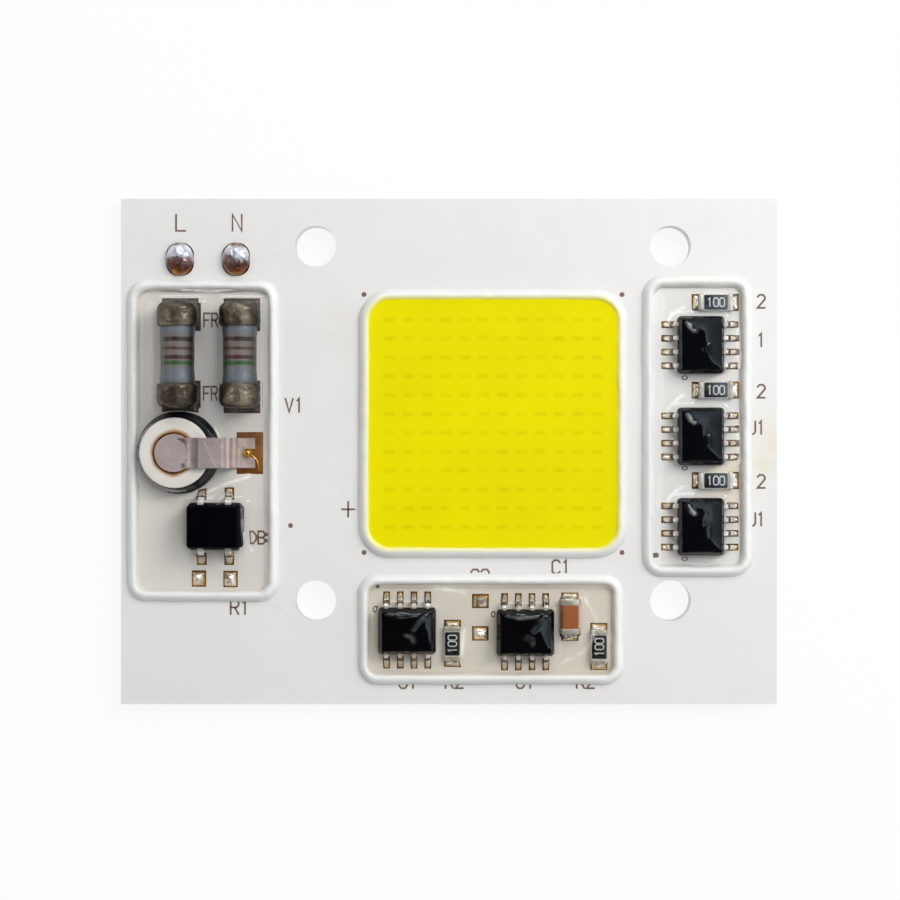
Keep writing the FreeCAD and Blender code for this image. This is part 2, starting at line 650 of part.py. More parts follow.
def build_package(place, kind, per_side, name):
    """A moulded package with two rows of gull-wing leads. The leads are formed strips cast into the body."""
    leads = new_body(name + "_strips")
    path = new_sketch(leads, name + "_path", "XZ_Plane")
    parting, thick = f"{kind}_parting", f"{kind}_lead_thick"
    root = f"{kind}_width / 2 - {kind}_lead_root"
    heel = f"{kind}_span / 2 - {kind}_lead_foot"
    corners = [(root, parting), (f"{heel} - {kind}_lead_slope", parting), (heel, f"{thick} / 2"),
               (f"{kind}_span / 2", f"{thick} / 2")]
    edges = draw_path(path, corners)
    profile = new_sketch(leads, name + "_section", "YZ_Plane", root)
    row_end = f"({per_side} - 1) / 2 * {kind}_pitch"
    draw_rectangle(profile, f"{kind}_lead_width", thick, f"-{row_end}", parting)
    sweep(leads, profile, path, edges)
    rows = leads.newObject("PartDesign::MultiTransform", name + "_rows")
    rows.Originals = [leads.Tip]
    mirror = leads.newObject("PartDesign::Mirrored", name + "_mirror")
    mirror.MirrorPlane = ([item for item in leads.Origin.OriginFeatures if item.Role == "YZ_Plane"][0], [""])
    step = leads.newObject("PartDesign::LinearPattern", name + "_step")
    step.Direction = (profile, ["H_Axis"])
    bind(step, "Length", f"({per_side} - 1) * {kind}_pitch")
    step.Occurrences = per_side
    rows.Transformations = [mirror, step]
    leads.Tip = rows
    seat(leads, place)
    keep(leads, name + "_leads")

    mould = new_body(name + "_mould")
    outline = new_sketch(mould, name + "_parting", "XY_Plane", parting)
    draw_rectangle(outline, f"{kind}_width", f"{kind}_length")
    pad(mould, outline, f"{kind}_standoff + {kind}_thick - {parting}", "-mould_taper")
    under = new_sketch(mould, name + "_under", "XY_Plane", parting)
    draw_rectangle(under, f"{kind}_width", f"{kind}_length")
    pad(mould, under, f"{parting} - {kind}_standoff", "-mould_taper", down=True)
    seat(mould, place)
    keep(cut(name + "_body", mould, leads), name + "_body")
    return leads


def build_small(place, kind, name):
    """A ceramic chip part: a block with a film on its middle, and a wrapped terminal on each end."""
    ceramic = new_body(name + "_ceramic")
    profile = new_sketch(ceramic, name + "_side", "XZ_Plane", "-small_width / 2")
    film = "glaze_thick" if kind == "resistor" else "0.5 * glaze_thick"
    end = f"small_length / 2 - {film}"
    shoulder = "small_length / 2 - small_terminal"
    top, step = f"{kind}_thick", f"{kind}_thick - {film}"
    right_half = [(shoulder, f"0.5 * {film}"), (shoulder, film), (end, film), (end, step), (shoulder, step),
                  (shoulder, top)]
    left_half = [(f"-({x})", z) for x, z in reversed(right_half)]
    draw_outline(profile, right_half + left_half)
    pad(ceramic, profile, "small_width")
    seat(ceramic, place)
    keep(ceramic, name + "_body")
    blocks = []
    for side in (-1, 1):
        x, y, length, width = land(place, f"{side} * (small_length - small_terminal) / 2", "0",
                                   "small_terminal", "small_width")
        ends_top = f"{SEAT_Z} + {kind}_thick"
        blocks.append(block(f"{name}_end_{side + 1}", x, y, SEAT_Z, ends_top, length, width))
    ends = gather(name + "_ends", blocks)
    keep(cut(name + "_terminals", ends, ceramic), name + "_terminals")
    return ends


def build_fuse(number):
    """A fusible resistor: a lacquered rod with a drawn cap pressed on each end, lying along Y."""
    name = f"fuse_resistor_{number}"
    rod = new_body(name + "_rod")
    half = new_sketch(rod, name + "_half", "XY_Plane")
    rod_end = "fuse_length / 2 - fuse_cap_end"
    draw_outline(half, [("0", f"-({rod_end})"), ("fuse_radius", f"-({rod_end})"), ("fuse_radius", rod_end),
                        ("0", rod_end)])
    revolve(rod, half, "Y_Axis")
    cap = new_body(name + "_cap")
    cup = new_sketch(cap, name + "_cup", "XY_Plane")
    mouth = "fuse_length / 2 - fuse_cap_length"
    draw_outline(cup, [("0", rod_end), ("fuse_radius", rod_end), ("fuse_radius", mouth),
                       ("fuse_cap_radius", mouth), ("fuse_cap_radius", "fuse_length / 2 - fuse_cap_round"),
                       ("fuse_cap_radius - fuse_cap_round", "fuse_length / 2"), ("0", "fuse_length / 2")])
    turned = revolve(cap, cup, "Y_Axis")
    pair = cap.newObject("PartDesign::Mirrored", name + "_pair")
    pair.Originals = [turned]
    pair.MirrorPlane = ([item for item in cap.Origin.OriginFeatures if item.Role == "XZ_Plane"][0], [""])
    cap.Tip = pair
    for body, label in ((rod, "body"), (cap, "caps")):
        place_at(body, *fuse_middle(number), f"{SEAT_Z} + fuse_cap_radius")
        keep(body, f"{name}_{label}")
    return gather(name + "_whole", [rod, cap])


def build_varistor():
    """A ceramic disc on its land, and the tinned strap from its upper face down to a second land."""
    disc = new_body("varistor_blank")
    half = new_sketch(disc, "varistor_half", "XZ_Plane")
    draw_outline(half, [("0", "0"), ("varistor_radius", "0"), ("varistor_radius", "varistor_skirt"),
                        ("varistor_face", "varistor_thick"), ("0", "varistor_thick")])
    revolve(disc, half, "Z_Axis")
    seat(disc, VARISTOR)
    keep(disc, "varistor_disc")
    upper = doc.addObject("Part::Cylinder", "varistor_joint")
    bind(upper, "Radius", "strap_head - solder_film")
    bind(upper, "Height", "solder_film")
    seat(upper, VARISTOR, f"{SEAT_Z} + varistor_thick")
    strap = new_body("strap_strip")
    drop = "strap_thick / 2 - varistor_thick - solder_film"
    level, raised = "strap_thick / 2", "strap_thick / 2 + strap_step_rise"
    path = new_sketch(strap, "strap_path", "XZ_Plane")
    corners = [("strap_step_at / 2", level), ("strap_step_at", level),
               ("strap_step_at + strap_step_run", raised), ("strap_arm_end", raised),
               ("strap_arm_end + strap_drop_run", drop), ("strap_tip", drop)]
    edges = draw_bent_path(path, corners, "strap_bend")
    section = new_sketch(strap, "strap_section", "YZ_Plane", "strap_step_at / 2")
    draw_rectangle(section, "strap_width", "strap_thick", "0", level)
    sweep(strap, section, path, edges)
    head = new_sketch(strap, "strap_head_outline", "XY_Plane")
    draw_circle(head, "strap_head")
    pad(strap, head, "strap_thick")
    notch_sketch = new_sketch(strap, "strap_notch_outline", "XY_Plane", f"{drop} - strap_thick")
    draw_rectangle(notch_sketch, "2 * strap_notch_deep", "strap_notch", "strap_tip")
    notch = strap.newObject("PartDesign::Pocket", "strap_notch")
    notch.Profile = notch_sketch
    notch.Reversed = True
    bind(notch, "Length", "2 * strap_thick")
    seat(strap, VARISTOR, f"{SEAT_Z} + varistor_thick + solder_film")
    keep(strap, "varistor_strap")
    return upper


def build_solder(field, films, drawn, extra=()):
    """The soldered joints of one driver field. A film lies under each foot, and what is drawn up a terminal
    has that terminal set in it."""
    joints = [mound(f"{field}_film_{number}", place, height) for number, (place, height) in enumerate(films)]
    for number, (place, height, standing) in enumerate(drawn):
        whole = mound(f"{field}_mound_{number}", place, height)
        joints.append(cut(f"{field}_drawn_{number}", whole, standing))
    name = f"{field}_solder_joints"
    keep(gather(name, joints + list(extra)), name)


def build_gel(field, envelopes):
    """Clear gel inside a driver dam, just clear of the parts that stand in it."""
    pool = build_pool(f"{field}_pool", *FIELD_MIDDLES[field], f"{field}_length", f"{field}_width",
                      "bead_corner", "gel_level")
    name = f"driver_gel_{field}"
    keep(cut(name, pool, gather(f"{field}_envelopes", envelopes)), name)


def envelope(name, x, y, length, width, top):
    """The room that a standing part takes out of the gel."""
    return block(name, x, y, LAND_Z, f"{top} + gel_clear", f"{length} + 2 * gel_clear",
                 f"{width} + 2 * gel_clear")


def room(place, length, width, top, name):
    """The envelope of one component, its length along the component's own X."""
    return envelope(name, *land(place, "0", "0", length, width), top)


def build_module():
    build_board()
    build_light()
    through = f"{MASK_Z} + 2 * gel_level"
    fields = {field: {"films": [], "drawn": [], "rooms": []} for field in ("left", "right", "bottom")}
    for field in fields:
        build_dam(f"driver_dam_{field}", *FIELD_MIDDLES[field], f"{field}_length", f"{field}_width",
                  "bead_corner", "bead", "gel_level", "bead_crown")
    left, bottom = fields["left"], fields["bottom"]

    packages = [(place, "driver", 4, f"driver_chip_{number}") for number, place in enumerate(DRIVERS, 1)]
    packages.append((RECTIFIER, "rectifier", 2, "rectifier"))
    for place, kind, per_side, name in packages:
        field = fields[place[2]]
        build_package(place, kind, per_side, name)
        field["films"] += [(under, "solder_film") for under in package_lands(place, kind, per_side)]
        rows = f"max({kind}_length; ({per_side} - 1) * {kind}_pitch + {kind}_land_width)"
        field["rooms"].append(room(place, f"2 * {kind}_land_reach", rows, through, name + "_room"))

    for place in RESISTORS + [CAPACITOR]:
        field = fields[place[2]]
        kind = "capacitor" if place == CAPACITOR else "resistor"
        name = "capacitor" if place == CAPACITOR else "sense_" + place[0]
        ends = build_small(place, kind, name)
        field["drawn"] += [(under, "solder_fillet", ends) for under in small_lands(place)]
        top = through if place == CAPACITOR else f"{SEAT_Z} + resistor_thick"
        field["rooms"].append(room(place, "2 * small_land_reach", "small_width", top, name + "_room"))

    for number in (1, 2):
        whole = build_fuse(number)
        left["drawn"] += [(under, "2 * solder_fillet", whole) for under in fuse_lands(number)]
        wide = "max(2 * fuse_cap_radius; fuse_land_width)"
        left["rooms"].append(envelope(f"fuse_room_{number}", *fuse_middle(number), wide, f"2 * {FUSE_REACH}",
                                      through))

    upper_joint = build_varistor()
    left["films"] += [(DISC_LAND, "solder_film"), (STRAP_LAND, "solder_film")]
    disc_room = doc.addObject("Part::Cylinder", "disc_room")
    bind(disc_room, "Radius", "varistor_radius + gel_clear")
    bind(disc_room, "Height", "2 * gel_level")
    seat(disc_room, VARISTOR, MASK_Z)
    strap_reach = "strap_land_x + strap_land_length / 2"
    strap_middle = spot(VARISTOR, f"({strap_reach}) / 2")
    strap_room = envelope("strap_room", *strap_middle, strap_reach, "strap_land_width", through)
    left["rooms"] += [disc_room, strap_room]

    for field, spares in ((left, SPARE_LEFT), (bottom, SPARE_BOTTOM)):
        field["films"] += [(spare, "spare_solder") for spare in spares]
        field["rooms"] += [envelope("spare_room", *spare, f"{LAND_Z} + spare_solder") for spare in spares]

    for field, content in fields.items():
        build_solder(field, content["films"], content["drawn"], [upper_joint] if field == "left" else ())
        build_gel(field, content["rooms"])


def check_document():
    """Stops on any object that failed and on any part whose solids are missing or broken."""
    for thing in doc.Objects:
        if "Invalid" in thing.State or "Error" in thing.State:
            raise RuntimeError(f"{thing.Name} failed: {thing.State}")
    for part in parts:
        if part.Shape.isNull() or not part.Shape.isValid() or not part.Shape.Solids:
            raise RuntimeError(f"{part.Label} has no sound solid")


def write_parts():
    os.makedirs("parts", exist_ok=True)
    for part in parts:
        part.Shape.exportStep(f"parts/{part.Label}.step")
        print(f"{part.Label}: {len(part.Shape.Solids)} solids, {part.Shape.Volume:.3f} mm3")


build_module()
doc.recompute()
check_document()
write_parts()
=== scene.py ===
"""Dresses a packed lighting module: silicone, clear gel, soldered parts, print and finishes.

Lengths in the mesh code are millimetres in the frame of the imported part; meshes hold metres.
"""

import json
import math

import bpy
from bpy.props import FloatProperty, FloatVectorProperty, PointerProperty
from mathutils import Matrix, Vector, noise

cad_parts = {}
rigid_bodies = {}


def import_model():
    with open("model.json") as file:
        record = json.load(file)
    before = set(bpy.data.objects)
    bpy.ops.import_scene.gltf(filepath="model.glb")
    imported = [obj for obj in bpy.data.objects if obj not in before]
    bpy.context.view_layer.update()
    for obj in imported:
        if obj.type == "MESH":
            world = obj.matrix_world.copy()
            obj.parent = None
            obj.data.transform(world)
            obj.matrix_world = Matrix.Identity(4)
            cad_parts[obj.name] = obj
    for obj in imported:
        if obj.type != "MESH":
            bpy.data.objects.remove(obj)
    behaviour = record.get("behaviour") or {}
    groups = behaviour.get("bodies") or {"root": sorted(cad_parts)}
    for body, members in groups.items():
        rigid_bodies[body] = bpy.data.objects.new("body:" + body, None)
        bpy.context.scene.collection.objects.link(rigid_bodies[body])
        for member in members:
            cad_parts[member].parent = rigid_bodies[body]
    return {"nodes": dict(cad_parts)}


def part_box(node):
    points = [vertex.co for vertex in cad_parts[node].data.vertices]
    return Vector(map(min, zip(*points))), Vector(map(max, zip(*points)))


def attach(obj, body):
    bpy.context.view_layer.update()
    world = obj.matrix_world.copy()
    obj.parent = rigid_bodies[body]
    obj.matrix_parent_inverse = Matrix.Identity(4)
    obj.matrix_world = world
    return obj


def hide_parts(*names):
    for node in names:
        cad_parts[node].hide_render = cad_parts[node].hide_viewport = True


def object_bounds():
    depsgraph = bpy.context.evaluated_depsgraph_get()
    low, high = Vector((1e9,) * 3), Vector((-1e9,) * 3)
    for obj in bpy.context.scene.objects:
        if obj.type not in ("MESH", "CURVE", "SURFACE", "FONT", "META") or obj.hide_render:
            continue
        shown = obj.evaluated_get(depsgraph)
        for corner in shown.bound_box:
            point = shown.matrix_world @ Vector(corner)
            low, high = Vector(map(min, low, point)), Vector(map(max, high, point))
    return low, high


bl_info = {
    "name": "Lighting Module Dressing",
    "version": (1, 0, 0),
    "blender": (4, 5, 0),
    "location": "View3D > Sidebar > Lighting Module",
    "description": "Dresses a packed lighting module with its silicone, solder, leads and finishes",
    "category": "Object",
}

for leftover in list(bpy.data.objects):
    bpy.data.objects.remove(leftover)
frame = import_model()
CAD_LOW, CAD_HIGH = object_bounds()
MM = 0.001
FIELDS = ("left", "right", "bottom")
FIELD_CHIPS = {"left": (), "right": (1, 2, 3), "bottom": (4, 5)}
WHITE, BLACK = (1.0, 1.0, 1.0), (0.0, 0.0, 0.0)


# ---- values a user may change

def length(name, description, default):
    """A length property, its default in millimetres."""
    return FloatProperty(name=name, description=description, default=default * MM, min=0,
                         precision=5, unit="LENGTH", subtype="DISTANCE")


def tone(red, green, blue):
    """Display colour of 0 to 255 as scene-linear values."""
    return tuple((part / 255 / 12.92) if part < 11 else ((part / 255 + 0.055) / 1.055) ** 2.4
                 for part in (red, green, blue))


def colour(name, description, red, green, blue):
    return FloatVectorProperty(name=name, description=description, default=tone(red, green, blue),
                               size=3, min=0, max=1, subtype="COLOR")


class ModuleSizes(bpy.types.PropertyGroup):
    """Sizes of what is dispensed, soldered or bent by hand."""
    bead_wander: length("Bead wander", "How far a dispensed dam wanders from its line", 0.1)
    bead_swell: length("Bead swell", "How much a dam's height changes along its line", 0.14)
    gel_level: length("Gel level", "Clear gel above the mask", 0.64)
    gel_skin: length("Gel skin", "Gel left over the edges of a wetted part", 0.03)
    gel_crown: length("Gel crown", "Extra gel over the middle of a wetted package", 0.27)
    gel_climb: length("Gel climb", "How far gel climbs a dam", 0.1)
    gel_lap: length("Gel lap", "Height of the lines where setting gel was drawn up", 0.13)
    gel_step: length("Gel mesh step", "Grid step of the gel surfaces", 0.09)
    mould_edge: length("Mould edge", "Rounding of a moulded body's upper edges", 0.14)
    lead_bend: length("Lead bend", "Bend radius of the leads", 0.16)
    print_film: length("Print film", "Thickness of the printed legend", 0.012)
    solder_swell: length("Solder swell", "Height of the solder beside a lead", 0.22)


class ModuleColours(bpy.types.PropertyGroup):
    """Base colours of the finishes."""
    mask: colour("Solder mask", "White solder mask", 240, 235, 229)
    silicone: colour("Silicone", "White silicone of the dams", 240, 237, 230)
    phosphor: colour("Phosphor", "Yellow phosphor silicone", 240, 224, 3)
    mould: colour("Mould", "Black moulding compound", 3, 3, 6)
    gold: colour("Flux gold", "Flux varnish over solder", 188, 140, 62)
    brown: colour("Flux brown", "Baked flux", 84, 52, 26)
    copper: colour("Copper", "Etched copper", 176, 104, 62)
    print: colour("Legend", "Brown legend print", 112, 86, 72)
    fuse: colour("Fuse lacquer", "Grey lacquer of the fusible resistors", 116, 106, 98)
    cap: colour("Fuse cap", "Pressed caps of the fusible resistors", 150, 136, 116)
    ceramic: colour("Varistor ceramic", "Face of the varistor", 231, 224, 213)
    strap: colour("Strap", "Tinned strap", 190, 172, 167)
    capacitor: colour("Capacitor", "Brown capacitor ceramic", 168, 98, 52)


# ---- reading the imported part

def span(name):
    """Lowest corner, highest corner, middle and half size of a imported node, in millimetres."""
    low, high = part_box(name)
    low, high = low / MM, high / MM
    return low, high, (low + high) / 2, (high - low) / 2


def loose_boxes(name):
    """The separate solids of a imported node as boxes, in millimetres."""
    mesh = frame["nodes"][name].data
    keys = [tuple(round(part / MM, 3) for part in vertex.co) for vertex in mesh.vertices]
    leader = {key: key for key in keys}

    def find(key):
        while leader[key] != key:
            leader[key] = leader[leader[key]]
            key = leader[key]
        return key

    for polygon in mesh.polygons:
        corners = [keys[index] for index in polygon.vertices]
        for corner in corners[1:]:
            leader[find(corner)] = find(corners[0])
    groups = {}
    for key in leader:
        groups.setdefault(find(key), []).append(key)
    boxes = [(Vector(map(min, zip(*points))), Vector(map(max, zip(*points))))
             for points in groups.values()]
    return sorted(boxes, key=lambda box: tuple(round(part, 2) for part in box[0]))


MASK_Z = span("solder_mask")[1].z
LAND_Z = span("copper_circuit")[1].z
SUNK = 0.005          # how deep a bead's foot is set into the mask
LIGHT_PITCH = 1.75    # between two chips of the light field
LIGHT_CORNER = 1.9    # corner radius of the phosphor
# The lap lines' whiteness is a painted glint, which the gel's emission shows.
LAP_PAINTED_GLINT = 0.3       # how white a lap line in an open part of a field looks
LAPS = {
    "left": [((-29.9, 12.65), (-28.8, 12.4), (-26.2, 12.1), (-24.2, 12.4)),
             ((-33.0, 11.9), (-32.4, 12.5), (-31.4, 12.75)), ((-19.9, 11.6), (-19.5, 9.0)),
             ((-23.2, -7.9), (-23.1, -9.9), (-22.3, -11.8)),
             ((-22.6, -4.9), (-24.8, -5.6), (-26.3, -6.3)), ((-25.4, -7.1), (-25.0, -6.7))],
    "right": [((17.5, 10.7), (16.5, 10.0), (16.1, 9.4)), ((17.5, 2.5), (16.5, 1.8), (16.1, 1.3)),
              ((17.6, -5.9), (16.5, -6.6), (16.2, -7.1)), ((22.6, 8.6), (22.7, 5.2)),
              ((22.6, -0.3), (22.7, -3.6))],
    "bottom": [((6.0, -22.3), (8.1, -21.3), (9.25, -19.9), (9.5, -18.0), (8.5, -16.3)),
               ((-5.4, -15.25), (-2.6, -15.6)), ((-2.7, -19.2), (-2.95, -22.2))],
}
# Lap lines over each package, from its middle, with the strength of the painted glint each shows.
CHIP_LAPS = {
    "left": [],
    "right": [(((-1.4, 2.0), (-1.1, 1.5), (-0.75, 1.2)), 0.42), (((0.5, -0.1), (0.58, -0.8)), 0.09),
              (((-2.75, 2.9), (-1.9, 3.05), (-0.9, 3.1)), 0.25)],
    "bottom": [(((-1.7, 1.62), (-0.6, 1.4), (1.0, 1.55)), 0.16),
               (((0.6, 0.2), (1.3, 1.2), (1.7, 1.5)), 0.07),
               (((-0.1, -0.35), (0.35, -0.5), (0.6, -0.9)), 0.07)],
}


class Stand:
    """Where a package stands: its middle, its half sizes along and across its leads, its leads."""

    def __init__(self, name):
        self.low, self.high, self.middle, self.half = span(name + "_body")
        self.turned = self.half.x > self.half.y
        self.leads = loose_boxes(name + "_leads")

    def at(self, along, across, height):
        """Board position of a point given along and across the leads."""
        if self.turned:
            return (self.middle.x - across, self.middle.y + along, height)
        return (self.middle.x + along, self.middle.y + across, height)

    def seen_from(self, box):
        """A lead's box as side, inner end, outer end, across, half width, low and high."""
        low, high = box[0] - self.middle, box[1] - self.middle
        along, across = (low.x, high.x), (low.y, high.y)
        if self.turned:
            along, across = (low.y, high.y), (-high.x, -low.x)
        side = 1 if sum(along) > 0 else -1
        inner, outer = sorted(abs(end) for end in along)
        return side, inner, outer, sum(across) / 2, (across[1] - across[0]) / 2, box[0].z, box[1].z


# ---- mesh building

def make_piece(name, shape, material, slot, *replaced):
    """Stores one shape as a piece of the module that rides on it."""
    verts, faces = shape
    mesh = bpy.data.meshes.new(name)
    mesh.from_pydata([tuple(part * MM for part in vert) for vert in verts], [], faces)
    mesh.validate()
    mesh.update()
    mesh.polygons.foreach_set("use_smooth", [True] * len(mesh.polygons))
    mesh.set_sharp_from_angle(angle=math.radians(38))
    mesh.materials.append(material)
    piece = bpy.data.objects.new(name, mesh)
    bpy.context.scene.collection.objects.link(piece)
    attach(piece, "root")
    if replaced:
        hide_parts(*replaced)
    return piece


def joined(shapes):
    """Several shapes as one."""
    verts, faces = [], []
    for shape_verts, shape_faces in shapes:
        start = len(verts)
        verts += shape_verts
        faces += [tuple(index + start for index in face) for face in shape_faces]
    return verts, faces


def loft(loops, capped=True):
    """Skin over closed loops of equal length, given from the lowest up and counter-clockwise."""
    count = len(loops[0])
    verts = [point for loop in loops for point in loop]
    faces = []
    for base in range(0, len(verts) - count, count):
        for here in range(count):
            there = (here + 1) % count
            faces.append((base + here, base + there, base + count + there, base + count + here))
    if capped:
        faces.append(tuple(reversed(range(count))))
        faces.append(tuple(range(len(verts) - count, len(verts))))
    return verts, faces


def ring(x, y, radius, height, count, put=lambda x, y, z: (x, y, z)):
    """Points on a level circle, counter-clockwise."""
    angles = [2 * math.pi * step / count for step in range(count)]
    return [put(x + radius * math.cos(angle), y + radius * math.sin(angle), height)
            for angle in angles]


def rounded_outline(middle, half_x, half_y, radius, steps=5):
    """Counter-clockwise points of a rounded rectangle."""
    radius = max(min(radius, half_x, half_y), 0.001)
    points = []
    for side_x, side_y, start in ((1, -1, -90), (1, 1, 0), (-1, 1, 90), (-1, -1, 180)):
        for step in range(steps + 1):
            angle = math.radians(start + 90 * step / steps)
            points.append((middle.x + side_x * (half_x - radius) + radius * math.cos(angle),
                           middle.y + side_y * (half_y - radius) + radius * math.sin(angle)))
    return points


def block(middle, half_x, half_y, corner, levels):
    """A block with rounded upright edges; levels are (inset, height) pairs from the lowest up."""
    loops = []
    for inset, height in levels:
        outline = rounded_outline(middle, half_x - inset, half_y - inset, max(corner - inset, 0.01))
        loops.append([(x, y, height) for x, y in outline])
    return loft(loops)


def round_edge(inset, height, radius, steps=4):
    """Levels of a rounded upper edge that ends at a height."""
    angles = [math.radians(90 * step / steps) for step in range(steps + 1)]
    return [(inset + radius * (1 - math.cos(angle)), height - radius * (1 - math.sin(angle)))
            for angle in angles]


def bent_line(corners, radius, steps=5):
    """A line through corners of (along, height), each inner corner rounded."""
    line = [corners[0]]
    for before, corner, after in zip(*(map(Vector, corners[start:]) for start in range(3))):
        back, ahead = before - corner, after - corner
        reach = min(radius, back.length * 0.49, ahead.length * 0.49)
        start = corner + back.normalized() * reach
        end = corner + ahead.normalized() * reach
        for step in range(steps + 1):
            part = step / steps
            point = start * (1 - part) ** 2 + corner * 2 * part * (1 - part) + end * part ** 2
            line.append(tuple(point))
    return line + [corners[-1]]


def strip(line, half_width, half_thick, put, edge=0.06, widths=None):
    """A flat strip with broken edges along a line; put maps (along, across, height)."""
    loops = []
    for index, (along, height) in enumerate(line):
        before, after = line[max(index - 1, 0)], line[min(index + 1, len(line) - 1)]
        way = (Vector(after) - Vector(before)).normalized()
        wide = widths[index] if widths else half_width
        section = [(-wide + edge, -half_thick), (-wide, -half_thick + edge),
                   (-wide, half_thick - edge), (-wide + edge, half_thick),
                   (wide - edge, half_thick), (wide, half_thick - edge),
                   (wide, -half_thick + edge), (wide - edge, -half_thick)]
        loops.append([put(along - way.y * lift, across, height + way.x * lift)
                      for across, lift in section])
    return loft(loops)


def turned(profile, put, segments=56):
    """A shape turned round an axis; profile holds (radius, place), put maps (x, y, place)."""
    return loft([ring(0, 0, radius, place, segments, put) for radius, place in profile])


def wobble(x, y, seed, pitch):
    """Smooth seeded noise between about -1 and 1 that changes over a pitch in millimetres."""
    return noise.noise(Vector((x / pitch, y / pitch, seed * 7.31)))


def pillow(low, high, corner, height, seed, rough=0.5, fullness=0.85):
    """Solder on a land: a drop that fills the land's outline and is uneven on top."""
    middle, half = (low + high) / 2, (high - low) / 2
    loops = []
    for part in (0, 0.04, 0.12, 0.26, 0.44, 0.64, 0.84, 0.97):
        inset = part * min(half.x, half.y)
        outline = rounded_outline(middle, half.x - inset, half.y - inset,
                                  max(corner - inset * 0.4, 0.02), 4)
        rise = height * (1 - (1 - part) ** 2) ** fullness
        loops.append([(x, y, low.z + rise * (1 + rough * wobble(x, y, seed, 0.42)))
                      for x, y in outline])
    return loft(loops)


def bead(low, high, width, corner, seed, sizes):
    """A dispensed bead of silicone in the box of its dam. Its line and its height wander slowly."""
    wander, swell = sizes.bead_wander / MM, sizes.bead_swell / MM
    step_long, count = 0.28, 15              # between cross-sections, and points in each
    crest_drop, ripple, flare = 0.34, 0.06, 0.06
    steepness = 1.9                          # over 1, the flanks run out flat at the foot
    height, floor = high.z - MASK_Z, MASK_Z - SUNK
    middle, half = (low + high) / 2, (high - low) / 2
    outline = rounded_outline(middle, half.x - width / 2, half.y - width / 2,
                              corner + width / 2, 14)
    points = []
    for here, there in zip(outline, outline[1:] + outline[:1]):
        steps = max(1, round(math.dist(here, there) / step_long))
        points += [(here[0] + (there[0] - here[0]) * step / steps,
                    here[1] + (there[1] - here[1]) * step / steps) for step in range(steps)]
    verts, faces = [], []
    for index, (x, y) in enumerate(points):
        following = (index + 1) % len(points)
        before, after = points[index - 1], points[following]
        way = Vector((after[0] - before[0], after[1] - before[1])).normalized()
        drift = -wander * (0.3 + 0.5 * wobble(x, y, seed, 5.0))
        half_width = width / 2 - 0.04 - wander * (0.5 + 0.6 * wobble(x, y, seed + 5, 1.8))
        top = (height - crest_drop - swell * (0.5 + 0.5 * wobble(x, y, seed + 9, 3.5))
               - ripple * abs(wobble(x, y, seed + 3, 1.4)))
        for step in range(count):
            angle = math.pi * step / (count - 1)
            across = math.cos(angle) * half_width
            dent = 1 + 0.09 * wobble(x + across, y + across, seed + 13, 0.8)
            rise = math.sin(angle) ** steepness * top * dent
            away = across + flare * max(0.0, math.cos(angle)) ** 3 + drift
            verts.append((x + way.y * away, y - way.x * away, floor + min(rise, height)))
            step_on = (step + 1) % count
            faces.append((index * count + step, following * count + step,
                          following * count + step_on, index * count + step_on))
    return verts, faces


def poured(low, high, reach, step, floor, surface):
    """A closed pour on a flat floor, a reach past its box, whose top follows surface(x, y)."""
    start_x, start_y = low.x - reach, low.y - reach
    long_x, long_y = high.x + reach - start_x, high.y + reach - start_y
    columns, rows = max(2, round(long_x / step)), max(2, round(long_y / step))
    verts = []
    for row in range(rows + 1):
        y = start_y + long_y * row / rows
        for column in range(columns + 1):
            x = start_x + long_x * column / columns
            verts.append((x, y, surface(x, y)))
    wide = columns + 1
    faces = [(base, base + 1, base + wide + 1, base + wide) for row in range(rows)
             for base in range(row * wide, row * wide + columns)]
    rim = list(range(wide))
    rim += [row * wide + columns for row in range(1, rows + 1)]
    rim += [rows * wide + column for column in range(columns - 1, -1, -1)]
    rim += [row * wide for row in range(rows - 1, 0, -1)]
    start = len(verts)
    verts += [(*verts[index][:2], floor) for index in rim]
    for place, index in enumerate(rim):
        following = (place + 1) % len(rim)
        faces.append((start + place, start + following, rim[following], index))
    faces.append(tuple(reversed(range(start, start + len(rim)))))
    return verts, faces


def edge_distance(x, y, low, high, corner):
    """How far a point is inside a rounded rectangle; negative outside."""
    away_x = max(low.x + corner - x, x - high.x + corner)
    away_y = max(low.y + corner - y, y - high.y + corner)
    if away_x > 0 and away_y > 0:
        return corner - math.hypot(away_x, away_y)
    return corner - max(away_x, away_y)


# ---- shader nodes

def node(tree, kind, inputs=None, **attributes):
    """Adds one shader node and feeds its inputs with values or with other nodes' outputs."""
    made = tree.nodes.new("ShaderNode" + kind)
    for name, value in attributes.items():
        setattr(made, name, value)
    for name, value in (inputs or {}).items():
        if isinstance(value, bpy.types.NodeSocket):
            tree.links.new(value, made.inputs[name])
        elif made.inputs[name].type == "RGBA" and len(value) == 3:
            made.inputs[name].default_value = (*value, 1)
        else:
            made.inputs[name].default_value = value
    return made


def maths(tree, operation, first, second=0.0):
    return node(tree, "Math", {0: first, 1: second}, operation=operation).outputs[0]


def vectors(tree, operation, inputs):
    return node(tree, "VectorMath", inputs, operation=operation).outputs


def mixed(tree, factor, first, second, blend="MIX"):
    inputs = {0: factor, 6: first, 7: second}
    return node(tree, "Mix", inputs, data_type="RGBA", blend_type=blend).outputs[2]


def ranged(tree, value, start=0.0, end=1.0, low=0.0, high=1.0, **attributes):
    """A value mapped from one range to another, held at both ends."""
    inputs = {"Value": value, "From Min": start, "From Max": end, "To Min": low, "To Max": high}
    return node(tree, "MapRange", inputs, **attributes).outputs["Result"]


def spot(tree):
    """The place on the board, in metres."""
    return node(tree, "TexCoord").outputs["Object"]


def axis_value(tree, axis):
    return node(tree, "SeparateXYZ", {0: spot(tree)}).outputs[axis]


